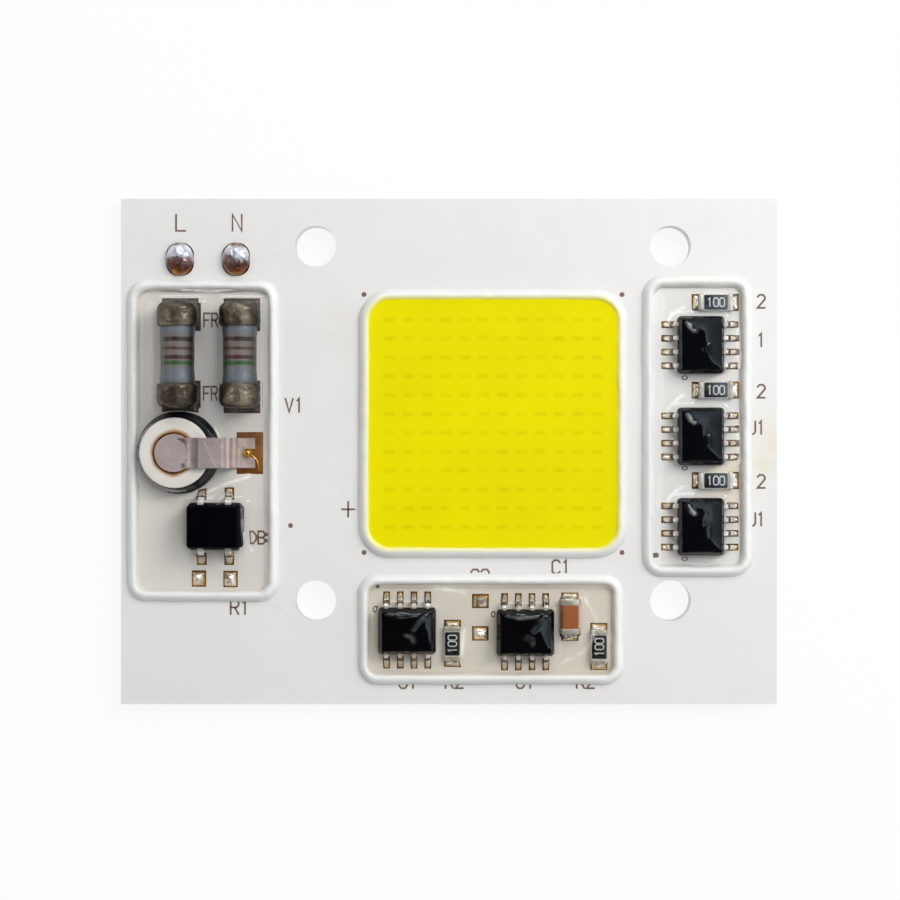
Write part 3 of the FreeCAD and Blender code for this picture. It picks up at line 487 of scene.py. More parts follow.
def clouds(tree, scale, detail, vector=None, **more):
    inputs = {"Vector": vector or spot(tree), "Scale": scale, "Detail": detail, **more}
    return node(tree, "TexNoise", inputs).outputs["Fac"]


def ragged(tree, scale, detail, amount):
    """Noise about zero, to make a border ragged."""
    centred = maths(tree, "SUBTRACT", clouds(tree, scale, detail), 0.5)
    return maths(tree, "MULTIPLY", centred, amount)


def band_ramp(tree, source, stops):
    """A colour ramp of (place, colour) stops."""
    ramp = node(tree, "ValToRGB", {"Fac": source})
    elements = ramp.color_ramp.elements
    while len(elements) < len(stops):
        elements.new(0.5)
    for element, (place, tint) in zip(elements, stops):
        element.position = place
        element.color = (*tint, 1)
    return ramp.outputs["Color"]


def bump(tree, height, distance, normal=None):
    """A bump whose distance is in millimetres, on top of another one if that is given."""
    below = {"Normal": normal} if normal else {}
    inputs = {"Height": height, "Distance": distance * MM, **below}
    return node(tree, "Bump", inputs).outputs["Normal"]


def new_effect(name, inputs, outputs):
    """An empty shader group with its sockets, an input's kind following from its default."""
    group = bpy.data.node_groups.new(name, "ShaderNodeTree")
    for socket, default in inputs.items():
        kind = "Float" if isinstance(default, float) else "Vector" if len(default) == 3 else "Color"
        item = group.interface.new_socket(socket, in_out="INPUT", socket_type="NodeSocket" + kind)
        item.default_value = default
    for socket, kind in outputs.items():
        group.interface.new_socket(socket, in_out="OUTPUT", socket_type="NodeSocket" + kind)
    return group, group.nodes.new("NodeGroupInput").outputs


def close_effect(group, **results):
    """Adds the group's output and links the results to it."""
    out = group.nodes.new("NodeGroupOutput")
    for socket, source in results.items():
        group.links.new(source, out.inputs[socket])
    return group


def mottle_effect():
    """Two tones and two gloss levels mixed by a soft cloud."""
    group, given = new_effect(
        "Mottle", {"Tone": (0.8, 0.8, 0.8, 1), "Other Tone": (0.6, 0.6, 0.6, 1), "Scale": 500.0,
                   "Amount": 0.5, "Gloss": 0.3, "Matt": 0.5},
        {"Color": "Color", "Roughness": "Float"})
    spread = ranged(group, clouds(group, given["Scale"], 4.0, Roughness=0.6), 0.35, 0.65)
    mask = maths(group, "MULTIPLY", spread, given["Amount"])
    return close_effect(group, Color=mixed(group, mask, given["Tone"], given["Other Tone"]),
                        Roughness=ranged(group, spread, low=given["Gloss"], high=given["Matt"]))


def grain_effect():
    """Fine surface grain, stretched along an axis where it is drawn or brushed."""
    group, given = new_effect("Grain", {"Scale": 4000.0, "Stretch": WHITE}, {"Height": "Float"})
    stretch = vectors(group, "MULTIPLY", {0: spot(group), 1: given["Stretch"]})[0]
    return close_effect(group, Height=clouds(group, given["Scale"], 3.0, stretch, Roughness=0.55))


def tarnish_effect():
    """Bright metal under flux: clean tone, gold film and brown residue in a cloud's hollows."""
    group, given = new_effect(
        "Tarnish", {"Clean": (0.7, 0.7, 0.7, 1), "Film": (0.5, 0.3, 0.1, 1),
                    "Residue": (0.1, 0.05, 0.02, 1), "Scale": 900.0, "Film Amount": 0.5,
                    "Residue Amount": 0.3, "Gloss": 0.16, "Bare Metal": 1.0},
        {"Color": "Color", "Roughness": "Float", "Metal": "Float"})
    broad = clouds(group, given["Scale"], 2.5, Distortion=0.6)
    offset = vectors(group, "ADD", {0: spot(group), 1: (0.013, 0.007, 0.003)})[0]
    spots = clouds(group, given["Scale"], 4.0, offset, Distortion=1.2)
    film = ranged(group, broad, 0.42, 0.6, high=given["Film Amount"])
    residue = ranged(group, spots, 0.5, 0.66, high=given["Residue Amount"])
    warm = mixed(group, film, given["Clean"], given["Film"])
    return close_effect(group, Color=mixed(group, residue, warm, given["Residue"]),
                        Roughness=ranged(group, residue, low=given["Gloss"], high=0.55),
                        Metal=ranged(group, residue, low=given["Bare Metal"], high=0.3))


def effect(tree, name, maker, *values):
    """Outputs of a shared shader group in a tree, fed with values in the order of its inputs."""
    group = bpy.data.node_groups.get(name) or maker()
    names = [item.name for item in group.interface.items_tree if item.in_out == "INPUT"]
    return node(tree, "Group", dict(zip(names, values)), node_tree=group).outputs


def mottle(tree, *values):
    """Outputs of the mottle: tone, other tone, scale, amount, gloss and matt."""
    return effect(tree, "Mottle", mottle_effect, *values)


def tarnish(tree, *values):
    """Outputs of the tarnish: clean, film and residue tones, scale, their amounts, gloss, metal."""
    return effect(tree, "Tarnish", tarnish_effect, *values)


def grain(tree, scale, depth, stretch=(1, 1, 1), normal=None):
    """A bump of fine grain, its depth in millimetres."""
    height = effect(tree, "Grain", grain_effect, scale, stretch)["Height"]
    return bump(tree, height, depth, normal)


# ---- finishes

def shade(tint, factor):
    """A lighter or darker tint of a colour."""
    return tuple(min(1.0, part * factor) for part in tint)


def new_finish(name, **sockets):
    """A material with a Principled shader whose plain sockets are set."""
    material = bpy.data.materials.new(name)
    material.use_nodes = True
    tree = material.node_tree
    tree.nodes.clear()
    shader = node(tree, "BsdfPrincipled")
    for socket, value in sockets.items():
        shader.inputs[socket.replace("_", " ")].default_value = value
    node(tree, "OutputMaterial", {"Surface": shader.outputs[0]})
    return material, tree, shader


def feed(tree, shader, **sources):
    for socket, source in sources.items():
        tree.links.new(source, shader.inputs[socket.replace("_", " ")])


def dress(tree, shader, skin, tint, normal):
    """Feeds a shader with a tint, a normal and the gloss and metal of a skin."""
    feed(tree, shader, Base_Color=tint, Roughness=skin["Roughness"], Normal=normal)
    if "Metal" in skin:
        feed(tree, shader, Metallic=skin["Metal"])


def mix_surface(tree, factor, shader, other):
    """Lets the material show a mix of two shaders."""
    mix = node(tree, "MixShader", {0: factor, 1: shader.outputs[0], 2: other.outputs[0]})
    out = next(item for item in tree.nodes if item.type == "OUTPUT_MATERIAL")
    tree.links.new(mix.outputs[0], out.inputs["Surface"])


def mottled(name, tints, scale, amount, gloss, matt, fine, depth, stretch=(1, 1, 1), tinge_and_glow=None,
            **sockets):
    """A finish of two tones with fine grain; a function given may change its tint, as the
    phosphor's tinge and painted glow do.
    """
    material = bpy.data.materials.get(name)
    if material:
        return material
    material, tree, shader = new_finish(name, **sockets)
    skin = mottle(tree, *tints, scale, amount, gloss, matt)
    tint = tinge_and_glow(tree, skin["Color"]) if tinge_and_glow else skin["Color"]
    dress(tree, shader, skin, tint, grain(tree, fine, depth, stretch))
    return material


def tarnished(name, clean, film, residue, scale, film_amount, residue_amount, depth=0.01,
              gloss=0.16, bare=1.0, fine=5200.0):
    """A fluxed metal finish; its clean tone is a colour or makes one in the material."""
    material = bpy.data.materials.get(name)
    if material:
        return material
    material, tree, shader = new_finish(name)
    clean = clean(tree) if callable(clean) else clean
    skin = tarnish(tree, clean, film, residue, scale, film_amount, residue_amount, gloss, bare)
    dress(tree, shader, skin, skin["Color"], grain(tree, fine, depth))
    return material


# Two-tone finishes: both tones, scale and amount of the cloud, gloss, matt, scale and depth of
# the grain.
TWO_TONES = {
    "Rolled_Aluminium": ((206, 207, 210), (184, 186, 190), 300, 0.6, 0.28, 0.42, 900, 0.012),
    "Insulation": ((214, 206, 190), (196, 186, 166), 400, 0.7, 0.45, 0.6, 3000, 0.01),
    "Light_Chip": ((150, 176, 214), (120, 140, 190), 3000, 0.6, 0.15, 0.3, 9000, 0.004),
    "Gold_Wire": ((232, 190, 96), (214, 166, 70), 3000, 0.5, 0.18, 0.3, 9000, 0.004),
    "Resistor_Glaze": ((16, 16, 19), (30, 30, 34), 900, 0.7, 0.2, 0.36, 4200, 0.008),
    "White_Alumina": ((226, 224, 218), (206, 203, 196), 900, 0.6, 0.5, 0.65, 5200, 0.01),
    "Value_Print": ((226, 228, 230), (188, 190, 194), 2600, 0.7, 0.5, 0.7, 6000, 0.004),
}
# Fluxed metals: clean, film and residue tones, scale of the cloud, amounts of film and residue,
# depth of the grain, gloss, share of metal, scale of the grain.
FLUXED = {
    "Flux_Varnish": ((158, 104, 48), (120, 70, 34), (84, 50, 28), 500, 0.8, 0.7, 0.03, 0.2, 0.3,
                     1500),
    "Dark_Fuse_Solder": ((96, 80, 68), (76, 56, 42), (52, 38, 32), 700, 0.8, 0.8, 0.05, 0.3, 0.5,
                        1500),
    "Scorched_Flux": ((150, 102, 62), (96, 58, 32), (58, 34, 22), 900, 0.9, 0.6),
    "Bright_Flux_Drop": ((232, 186, 92), (206, 150, 60), (120, 76, 30), 900, 0.6, 0.4),
}


def two_tone(name, *stretch, **sockets):
    first, second, *values = TWO_TONES[name]
    return mottled(name, (tone(*first), tone(*second)), *values, *stretch, **sockets)


def fluxed(name):
    clean, film, residue, *values = FLUXED[name]
    return tarnished(name, tone(*clean), tone(*film), tone(*residue), *values)


def mask_finish(tints):
    """White mask with orange peel, the relief of the copper under it and faint flux stains."""
    material, tree, shader = new_finish("White_Mask", Coat_Weight=0.35, Coat_Roughness=0.12)
    skin = mottle(tree, tints.mask, shade(tints.mask, 0.94), 90.0, 0.6, 0.28, 0.4)
    stains = mottle(tree, WHITE, (0.96, 0.86, 0.6), 230.0, 1.0)["Color"]
    rare = ranged(tree, clouds(tree, 62.0, 1.0), 0.66, 0.8)
    tint = mixed(tree, rare, skin["Color"], stains, "MULTIPLY")
    relief = bump(tree, ranged(tree, clouds(tree, 160.0, 0.0), 0.49, 0.51), 0.012)
    dress(tree, shader, skin, tint, grain(tree, 1500.0, 0.004, normal=relief))
    return material


def phosphor_finish(tints, pitch, half_long, half_wide):
    """Phosphor silicone, with the chips under it showing through as faint blurred dashes."""
    material, tree, shader = new_finish("Phosphor", Specular_IOR_Level=0.05)
    skin = mottle(tree, tints.phosphor, shade(tints.phosphor, 0.93), 110.0, 0.7, 0.3, 0.42)
    distances = []
    for axis, half in (("X", half_long), ("Y", half_wide)):
        turns = maths(tree, "FRACT", maths(tree, "DIVIDE", axis_value(tree, axis), pitch))
        near = maths(tree, "ABSOLUTE", maths(tree, "SUBTRACT", turns, 0.5))
        away = maths(tree, "SUBTRACT", maths(tree, "MULTIPLY", near, pitch), half)
        reach = maths(tree, "ABSOLUTE", axis_value(tree, axis))
        outside = maths(tree, "GREATER_THAN", reach, pitch * 6)
        distances.append(maths(tree, "ADD", away, outside))
    edge = maths(tree, "MAXIMUM", *distances)
    line = ranged(tree, maths(tree, "ABSOLUTE", edge), 0.0, 0.16 * MM, 0.5, 0.0)
    inner = ranged(tree, edge, -0.12 * MM, 0.18 * MM, 0.85, 0.0)
    depth = ranged(tree, clouds(tree, 420.0, 2.0), 0.3, 0.7, 0.2, 0.7)
    seen = maths(tree, "MULTIPLY", maths(tree, "MAXIMUM", line, inner), depth)
    tint = mixed(tree, seen, skin["Color"], (*shade(tints.phosphor, 0.7)[:2], 0.0))
    dress(tree, shader, skin, tint, grain(tree, 900.0, 0.008))
    return material


def gel_finish(field, tint_and_shade):
    """Clear gel: refracts what the camera sees and lets light through to what it covers; its lap
    lines glow with a painted glint.
    """
    material, tree, shader = new_finish("Clear_Gel_" + field, Transmission_Weight=1.0, IOR=1.41,
                                        Roughness=0.03, Emission_Strength=1.0)
    # Painted glint: the lap lines glow through the emission, made patchy by a mottle.
    lap = node(tree, "Attribute", attribute_name="lap_painted_glint").outputs["Fac"]
    uneven = mottle(tree, BLACK, (1.0, 1.0, 0.99), 700.0, 1.0)["Color"]
    feed(tree, shader, Normal=grain(tree, 420.0, 0.015),
         Base_Color=mottle(tree, tint_and_shade, shade(tint_and_shade, 0.965), 260.0, 1.0)["Color"],
         Emission_Color=vectors(tree, "SCALE", {0: uneven, "Scale": lap})[0])
    path = node(tree, "LightPath").outputs
    passing = maths(tree, "MAXIMUM", path["Is Shadow Ray"], path["Is Diffuse Ray"])
    mix_surface(tree, passing, shader, node(tree, "BsdfTransparent", {"Color": tint_and_shade}))
    return material


def flank_shade(tree, axis_z, radius, least):
    """Painted shade: a grey that falls from white on top of a lying rod to a least value down its
    flanks.
    """
    return ranged(tree, axis_value(tree, "Z"), (axis_z + 0.38 * radius) * MM,
                  (axis_z + 0.97 * radius) * MM, least, interpolation_type="SMOOTHSTEP")


def fuse_finish(tints, low_y, high_y, axis_z, radius):
    """Grey lacquer with four colour bands, and painted shade darkening it down its flanks."""
    material, tree, shader = new_finish("Fuse_Lacquer", Coat_Weight=0.3, Coat_Roughness=0.2)
    part = ranged(tree, axis_value(tree, "Y"), low_y * MM, high_y * MM)
    dark, grey, soft = tone(84, 88, 94), tone(112, 117, 123), 0.004
    stops = [(0.0, dark), (0.36, grey)]
    for start, width, tint in ((0.402, 0.034, tone(46, 88, 38)), (0.457, 0.032, tone(70, 28, 34)),
                               (0.543, 0.024, tone(78, 52, 40)), (0.623, 0.037, tone(50, 32, 24))):
        stops += [(start - soft, tints.fuse), (start, tint), (start + width, tint),
                  (start + width + soft, tints.fuse)]
    stops += [(0.7, grey), (1.0, dark)]
    bands = band_ramp(tree, maths(tree, "ADD", part, ragged(tree, 1300.0, 2.0, 0.012)), stops)
    skin = mottle(tree, WHITE, (0.76, 0.72, 0.68), 620.0, 0.8, 0.32, 0.5)
    tint = mixed(tree, 1.0, bands, skin["Color"], "MULTIPLY")
    # Painted shade: the lacquer darkens down the rod's flanks.
    tint = mixed(tree, 1.0, tint, flank_shade(tree, axis_z, radius, 0.2), "MULTIPLY")
    dress(tree, shader, skin, tint, grain(tree, 1600.0, 0.05))
    return material


def cap_finish(tints, axis_z, radius):
    """Dull pressed metal under baked flux with patches of bare metal, and painted shade darkening
    it down the flanks.
    """
    material, tree, shader = new_finish("Fuse_Cap_Metal", Specular_IOR_Level=0.4)
    skin = tarnish(tree, tints.cap, tone(74, 63, 52), tone(48, 38, 32), 300.0, 0.9, 0.8, 0.3, 0.8)
    # Painted shade: the caps darken down their flanks.
    flank = flank_shade(tree, axis_z, radius, 0.16)
    tint = mixed(tree, 1.0, skin["Color"], flank, "MULTIPLY")
    dress(tree, shader, skin, tint, grain(tree, 560.0, 0.3))
    return material


def ceramic_finish(tints, centre):
    """Varistor blank: cream face, a scorched ring round the strap, black down its flank."""
    material, tree, shader = new_finish("Varistor_Ceramic", Specular_IOR_Level=0.15)
    away = vectors(tree, "DISTANCE", {0: spot(tree), 1: centre * MM})["Value"]
    away = maths(tree, "ADD", away, ragged(tree, 700.0, 3.0, 0.5 * MM))
    scorch = tone(128, 84, 50)
    face = band_ramp(tree, maths(tree, "DIVIDE", away, 4 * MM),
                     [(0.4, scorch), (0.455, scorch), (0.5, tone(190, 148, 112)),
                      (0.56, tints.ceramic), (1.0, shade(tints.ceramic, 0.97))])
    side = ranged(tree, axis_value(tree, "Z"), (centre.z - 0.08) * MM, (centre.z - 0.035) * MM)
    skin = mottle(tree, WHITE, (0.9, 0.88, 0.86), 300.0, 0.8, 0.24, 0.42)
    tint = mixed(tree, side, tone(12, 13, 22), face)
    tint = mixed(tree, 1.0, tint, skin["Color"], "MULTIPLY")
    dress(tree, shader, skin, tint, grain(tree, 1800.0, 0.02))
    return material


def strap_finish(tints, start):
    """Tinned strap, pink where heated, with painted shade where it rises off the disc and painted
    highlights on its ribs.
    """
    material, tree, shader = new_finish("Tinned_Strap")
    skin = tarnish(tree, tints.strap, shade(tints.strap, 0.82), tone(128, 100, 92), 260.0, 0.6,
                   0.12, 0.3, 0.3)
    part = ranged(tree, axis_value(tree, "X"), start * MM, (start + 8) * MM)
    # Painted light and shade along the strap: brighter on its head and foot, a dark band where it
    # rises off the disc, bright and dark stripes over its ribs.
    marks = [(0.0, 1.1), (0.2, 1.08), (0.23, 0.52), (0.28, 0.4), (0.3, 0.92), (0.57, 0.95),
             (0.6, 0.62), (0.625, 1.5), (0.65, 0.6), (0.685, 1.5), (0.71, 0.75), (0.74, 1.3),
             (1.0, 1.2)]
    held = 0.6    # a ramp ends at 1, so marks over 1 are stored smaller
    painted_light_and_shade = band_ramp(tree, part, [(place, (value * held,) * 3) for place, value in marks])
    tint = vectors(tree, "MULTIPLY", {0: skin["Color"], 1: painted_light_and_shade})[0]
    tint = vectors(tree, "SCALE", {0: tint, "Scale": 1 / held})[0]
    dress(tree, shader, skin, tint, grain(tree, 420.0, 0.3))
    return material


def by_height(*stops):
    """A tone that changes with height; stops are (millimetres above the lands, colour)."""
    def build(tree):
        part = ranged(tree, axis_value(tree, "Z"), LAND_Z * MM, (LAND_Z + 1) * MM)
        return band_ramp(tree, part, stops)
    return build


def tin_finish(tints):
    # Brown and gold flux at the lead's foot; the dark brown band up the riser is painted shade.
    clean = by_height((0.0, tints.brown), (0.12, tints.gold), (0.2, tone(216, 202, 174)),
                      (0.28, tone(246, 242, 234)), (0.34, tone(104, 84, 66)),
                      (0.7, tone(52, 40, 32)), (0.76, tone(246, 244, 240)),
                      (1.0, tone(244, 242, 238)))
    return tarnished("Tinned_Lead", clean, tints.gold, tone(74, 50, 32), 1100.0, 0.25, 0.5, 0.03,
                     0.2, 0.38, 2400.0)


def solder_finish(tints):
    # Brown and gold flux round each drop, deepened to near black along its foot as painted shade.
    clean = by_height((0.0, tone(36, 24, 16)), (0.075, tone(62, 38, 20)), (0.12, tints.gold),
                      (0.17, tone(228, 198, 136)), (0.22, tone(250, 246, 236)),
                      (1.0, tone(250, 248, 243)))
    return tarnished("Soft_Solder", clean, tints.gold, tone(70, 42, 22), 900.0, 0.35, 0.75, 0.12,
                     0.1, 0.75, 1100.0)


def dome_finish(low, high):
    """Hand-made solder joint: brighter towards its far side, brown and gold towards its near side,
    with painted shade at its foot.
    """
    def clean(tree):
        part = ranged(tree, axis_value(tree, "Y"), low.y * MM, high.y * MM)
        where = maths(tree, "ADD", part, ragged(tree, 900.0, 3.0, 0.75))
        tint = band_ramp(tree, where, [
            (0.0, tone(190, 132, 58)), (0.14, tone(128, 72, 36)), (0.3, tone(84, 48, 42)),
            (0.46, tone(120, 98, 96)), (0.6, tone(212, 212, 220)), (0.84, tone(240, 240, 244)),
            (1.0, tone(126, 98, 84))])
        # Painted shade: the drop darkens to near black at its foot.
        rim = by_height((0.0, (0.06, 0.05, 0.04)), (0.12, (0.16, 0.12, 0.1)), (0.24, WHITE))
        return mixed(tree, 1.0, tint, rim(tree), "MULTIPLY")
    return tarnished("Dull_Solder", clean, tone(160, 128, 112), tone(86, 56, 44), 420.0, 0.3, 0.35,
                     0.12, 0.18, 0.5, 1300.0)


def mould_finish(tints):
    return mottled("Black_Mould", (tints.mould, shade(tints.mould, 1.6)), 500.0, 0.6, 0.4, 0.6,
                   6200.0, 0.004, Specular_IOR_Level=0.02)


def silicone_finish(tints, name="White_Silicone", tinge_and_glow=None):
    return mottled(name, (tints.silicone, shade(tints.silicone, 0.95)), 140.0, 0.6, 0.3, 0.42,
                   1300.0, 0.012, tinge_and_glow=tinge_and_glow, Subsurface_Weight=0.25, Subsurface_Scale=1.0,
                   Subsurface_Radius=(0.0011, 0.001, 0.0009), Coat_Weight=0.3)


def phosphor_tinge_and_glow(half):
    """Makes the yellow along the inner foot of the phosphor's dam: thin phosphor over the foot and
    a painted glow of light through the silicone.
    """
    def tinge_and_glow(tree, clean):
        parts = []
        for axis, reach in (("X", half.x), ("Y", half.y)):
            away = maths(tree, "SUBTRACT", maths(tree, "ABSOLUTE", axis_value(tree, axis)),
                         (reach - LIGHT_CORNER) * MM)
            parts.append(maths(tree, "POWER", maths(tree, "MAXIMUM", away, 0.0), 2.0))
        away = maths(tree, "SQRT", maths(tree, "ADD", *parts))
        away = maths(tree, "SUBTRACT", away, LIGHT_CORNER * MM)
        # Yellow towards the pool's edge: thin phosphor over the dam's foot and a painted glow.
        return mixed(tree, ranged(tree, away, -0.1 * MM, 0.45 * MM, 0.95, 0.0), clean,
                     tone(250, 236, 70))
    return tinge_and_glow


# ---- the pieces

class BuildOperator:
    """Shared part of the operators."""
    bl_options = {"REGISTER", "UNDO"}


class BoardOperator(BuildOperator, bpy.types.Operator):
    """Finish the board's layers, the chips and the bond wires that stay as packed"""
    bl_idname = "lighting_module.board"
    bl_label = "Board layers"

    def execute(self, context):
        tints = context.scene.module_colours
        finishes = {
            "aluminium_base": two_tone("Rolled_Aluminium", (1.0, 26.0, 1.0), Metallic=1.0),
            "insulation_layer": two_tone("Insulation"),
            "copper_circuit": tarnished("Copper_Foil", tints.copper, tints.gold, tints.brown, 500.0,
                                        0.6, 0.4),
            "solder_mask": mask_finish(tints),
            "light_chips": two_tone("Light_Chip"),
            "bond_wires": two_tone("Gold_Wire", Metallic=1.0),
        }
        for name, material in finishes.items():
            mesh = frame["nodes"][name].data
            for index in range(len(mesh.materials)):
                mesh.materials[index] = material
        return {"FINISHED"}


# Letters on a grid of 4 by 6: strokes of (column, row) spots.
STROKES = {
    "L": "06 00 40", "N": "00 06 40 46", "F": "00 06 46,03 33", "V": "06 20 46", "1": "15 26 20",
    "R": "00 06 36 45 44 33 03,23 40", "2": "05 16 36 45 44 00 40", "D": "00 06 26 44 42 20 00",
    "B": "00 06 36 45 44 33 03,33 42 41 30 00", "U": "06 01 10 30 41 46", "+": "03 43,21 25",
    "C": "45 36 16 05 01 10 30 41", "0": "01 05 16 36 45 41 30 10 01",
}


def words(text, x, y, height, floor, film, turn=0.0, pen=0.085):
    """Letters drawn with a pen of half width pen, as a shape standing on a floor."""
    unit, spacing, narrow = height / 6, 5.2, 0.85
    cos, sin = math.cos(turn), math.sin(turn)
    shapes = []
    for place, letter in enumerate(text):
        shift = (place - (len(text) - 1) / 2) * spacing - 2
        for stroke in STROKES[letter].split(","):
            line = [Vector(((shift + int(spot[0])) * unit * narrow, (int(spot[1]) - 3) * unit))
                    for spot in stroke.split()]
            last = len(line) - 1
            loops = []
            for index, here in enumerate(line):
                back = (here - line[index - 1]).normalized() if index else Vector((0, 0))
                ahead = (line[index + 1] - here).normalized() if index < last else Vector((0, 0))
                way = (back + ahead).normalized()
                reach = pen / max(0.4, way.dot(ahead if index < last else back))
                side = Vector((-way.y, way.x)) * reach
                tip = here - way * pen * (0.6 if not index else -0.6 if index == last else 0)
                loops.append([(x + spot.x * cos - spot.y * sin, y + spot.x * sin + spot.y * cos,
                               level) for spot, level in
                              ((tip + side, floor), (tip - side, floor),
                               (tip - side, floor + film), (tip + side, floor + film))])
            shapes.append(loft(loops))
    return joined(shapes)


class PrintOperator(BuildOperator, bpy.types.Operator):
    """Print the plain designators, rings and dots of the legend"""
    bl_idname = "lighting_module.legend"
    bl_label = "Legend"

    WORDS = [("L", -29.05, 18.68, 1.52), ("N", -23.8, 18.68, 1.52), ("+", -13.47, -7.98, 2.1),
             ("FR", -26.19, 9.6, 1.25), ("FR", -26.24, 2.79, 1.25), ("V1", -18.5, 1.69, 1.25),
             ("R1", -23.55, -17.1, 1.3), ("DB", -21.93, -10.6, 1.15), ("C1", 6.33, -13.35, 1.25),
             ("2", 24.95, 11.36, 1.2), ("1", 24.95, 7.77, 1.2), ("2", 24.95, 3.0, 1.2),
             ("U1", 24.5, -0.38, 1.2), ("2", 24.95, -5.39, 1.2), ("U1", 24.5, -8.91, 1.2),
             ("C2", -1.2, -14.2, 1.25), ("U1", -7.9, -24.0, 1.25), ("R2", -3.6, -24.0, 1.25),
             ("U1", 3.0, -24.0, 1.25), ("R2", 8.6, -24.0, 1.25)]
    DOTS = [(-12.0, 12.0), (12.0, 12.0), (12.0, -12.0), (-12.0, -12.0), (-18.83, -9.49),
            (15.16, -12.24), (-10.73, -15.06)]
    RINGS = [(-10.87, -17.27), (0.13, -17.73), (17.8, 4.35), (17.8, -4.03), (17.8, -12.45)]

    def execute(self, context):
        tints = context.scene.module_colours
        film = context.scene.module_sizes.print_film / MM
        shapes = [words(*word, MASK_Z, film) for word in self.WORDS]
        dot = (0.23, 0), (0.23, film * 0.7), (0.2, film)
        open_ring = (0.3, 0), (0.3, film), (0.17, film), (0.17, 0)
        for spots, levels, count in ((self.DOTS, dot, 20), (self.RINGS, open_ring, 28)):
            shapes += [loft([ring(x, y, radius, MASK_Z + rise, count) for radius, rise in levels],
                            levels is dot) for x, y in spots]
        ink = mottled("Legend_Ink", (tints.print, shade(tints.print, 1.45)), 1500.0, 0.8, 0.45, 0.7,
                      6000.0, 0.004)
        make_piece("legend_print", joined(shapes), ink, "white_mask")
        return {"FINISHED"}


class LightFieldOperator(BuildOperator, bpy.types.Operator):
    """Lay the round dam of the light field and pour its phosphor"""
    bl_idname = "lighting_module.light_field"
    bl_label = "Light field"

    def execute(self, context):
        tints = context.scene.module_colours
        low, high = span("light_dam")[:2]
        pool_low, pool_high = span("phosphor_fill")[:2]
        tinge_and_glow = phosphor_tinge_and_glow((pool_high - pool_low) / 2)
        white = silicone_finish(tints, "Light_Dam_Silicone", tinge_and_glow)
        inset = Vector((0.1, 0.1, 0))
        shape = bead(low + inset, high - inset, pool_low.x - low.x + 0.3, 1.65, 4,
                     context.scene.module_sizes)
        make_piece("light_dam_bead", shape, white, "white_silicone", "light_dam")
        level = pool_high.z - 0.29
        climb, climb_run, outer_slope, swell = 0.06, 0.45, 1.5, 0.012

        def surface(x, y):
            edge = edge_distance(x, y, pool_low, pool_high, LIGHT_CORNER)
            climbed = climb * math.exp(-max(edge, 0) / climb_run)
            return level + climbed + min(edge, 0) * outer_slope + swell * wobble(x, y, 2, 6.0)

        past_edge, step = 0.12, 0.16
        shape = poured(pool_low, pool_high, past_edge, step, MASK_Z - 0.004, surface)
        yellow = phosphor_finish(tints, LIGHT_PITCH * MM, 0.43 * MM, 0.13 * MM)
        make_piece("phosphor_pour", shape, yellow, "phosphor", "phosphor_fill")
        return {"FINISHED"}


class DamOperator(BuildOperator, bpy.types.Operator):
    """Lay the three dams of the driver fields"""
    bl_idname = "lighting_module.driver_dams"
    bl_label = "Driver dams"

    def execute(self, context):
        white = silicone_finish(context.scene.module_colours)
        for seed, field in enumerate(FIELDS, 11):
            low, high = span("driver_dam_" + field)[:2]
            width = span("driver_gel_" + field)[0].x - low.x + 0.12
            shape = bead(low, high, width, 0.66, seed, context.scene.module_sizes)
            make_piece(f"dam_bead_{field}", shape, white, "white_silicone", "driver_dam_" + field)
        return {"FINISHED"}


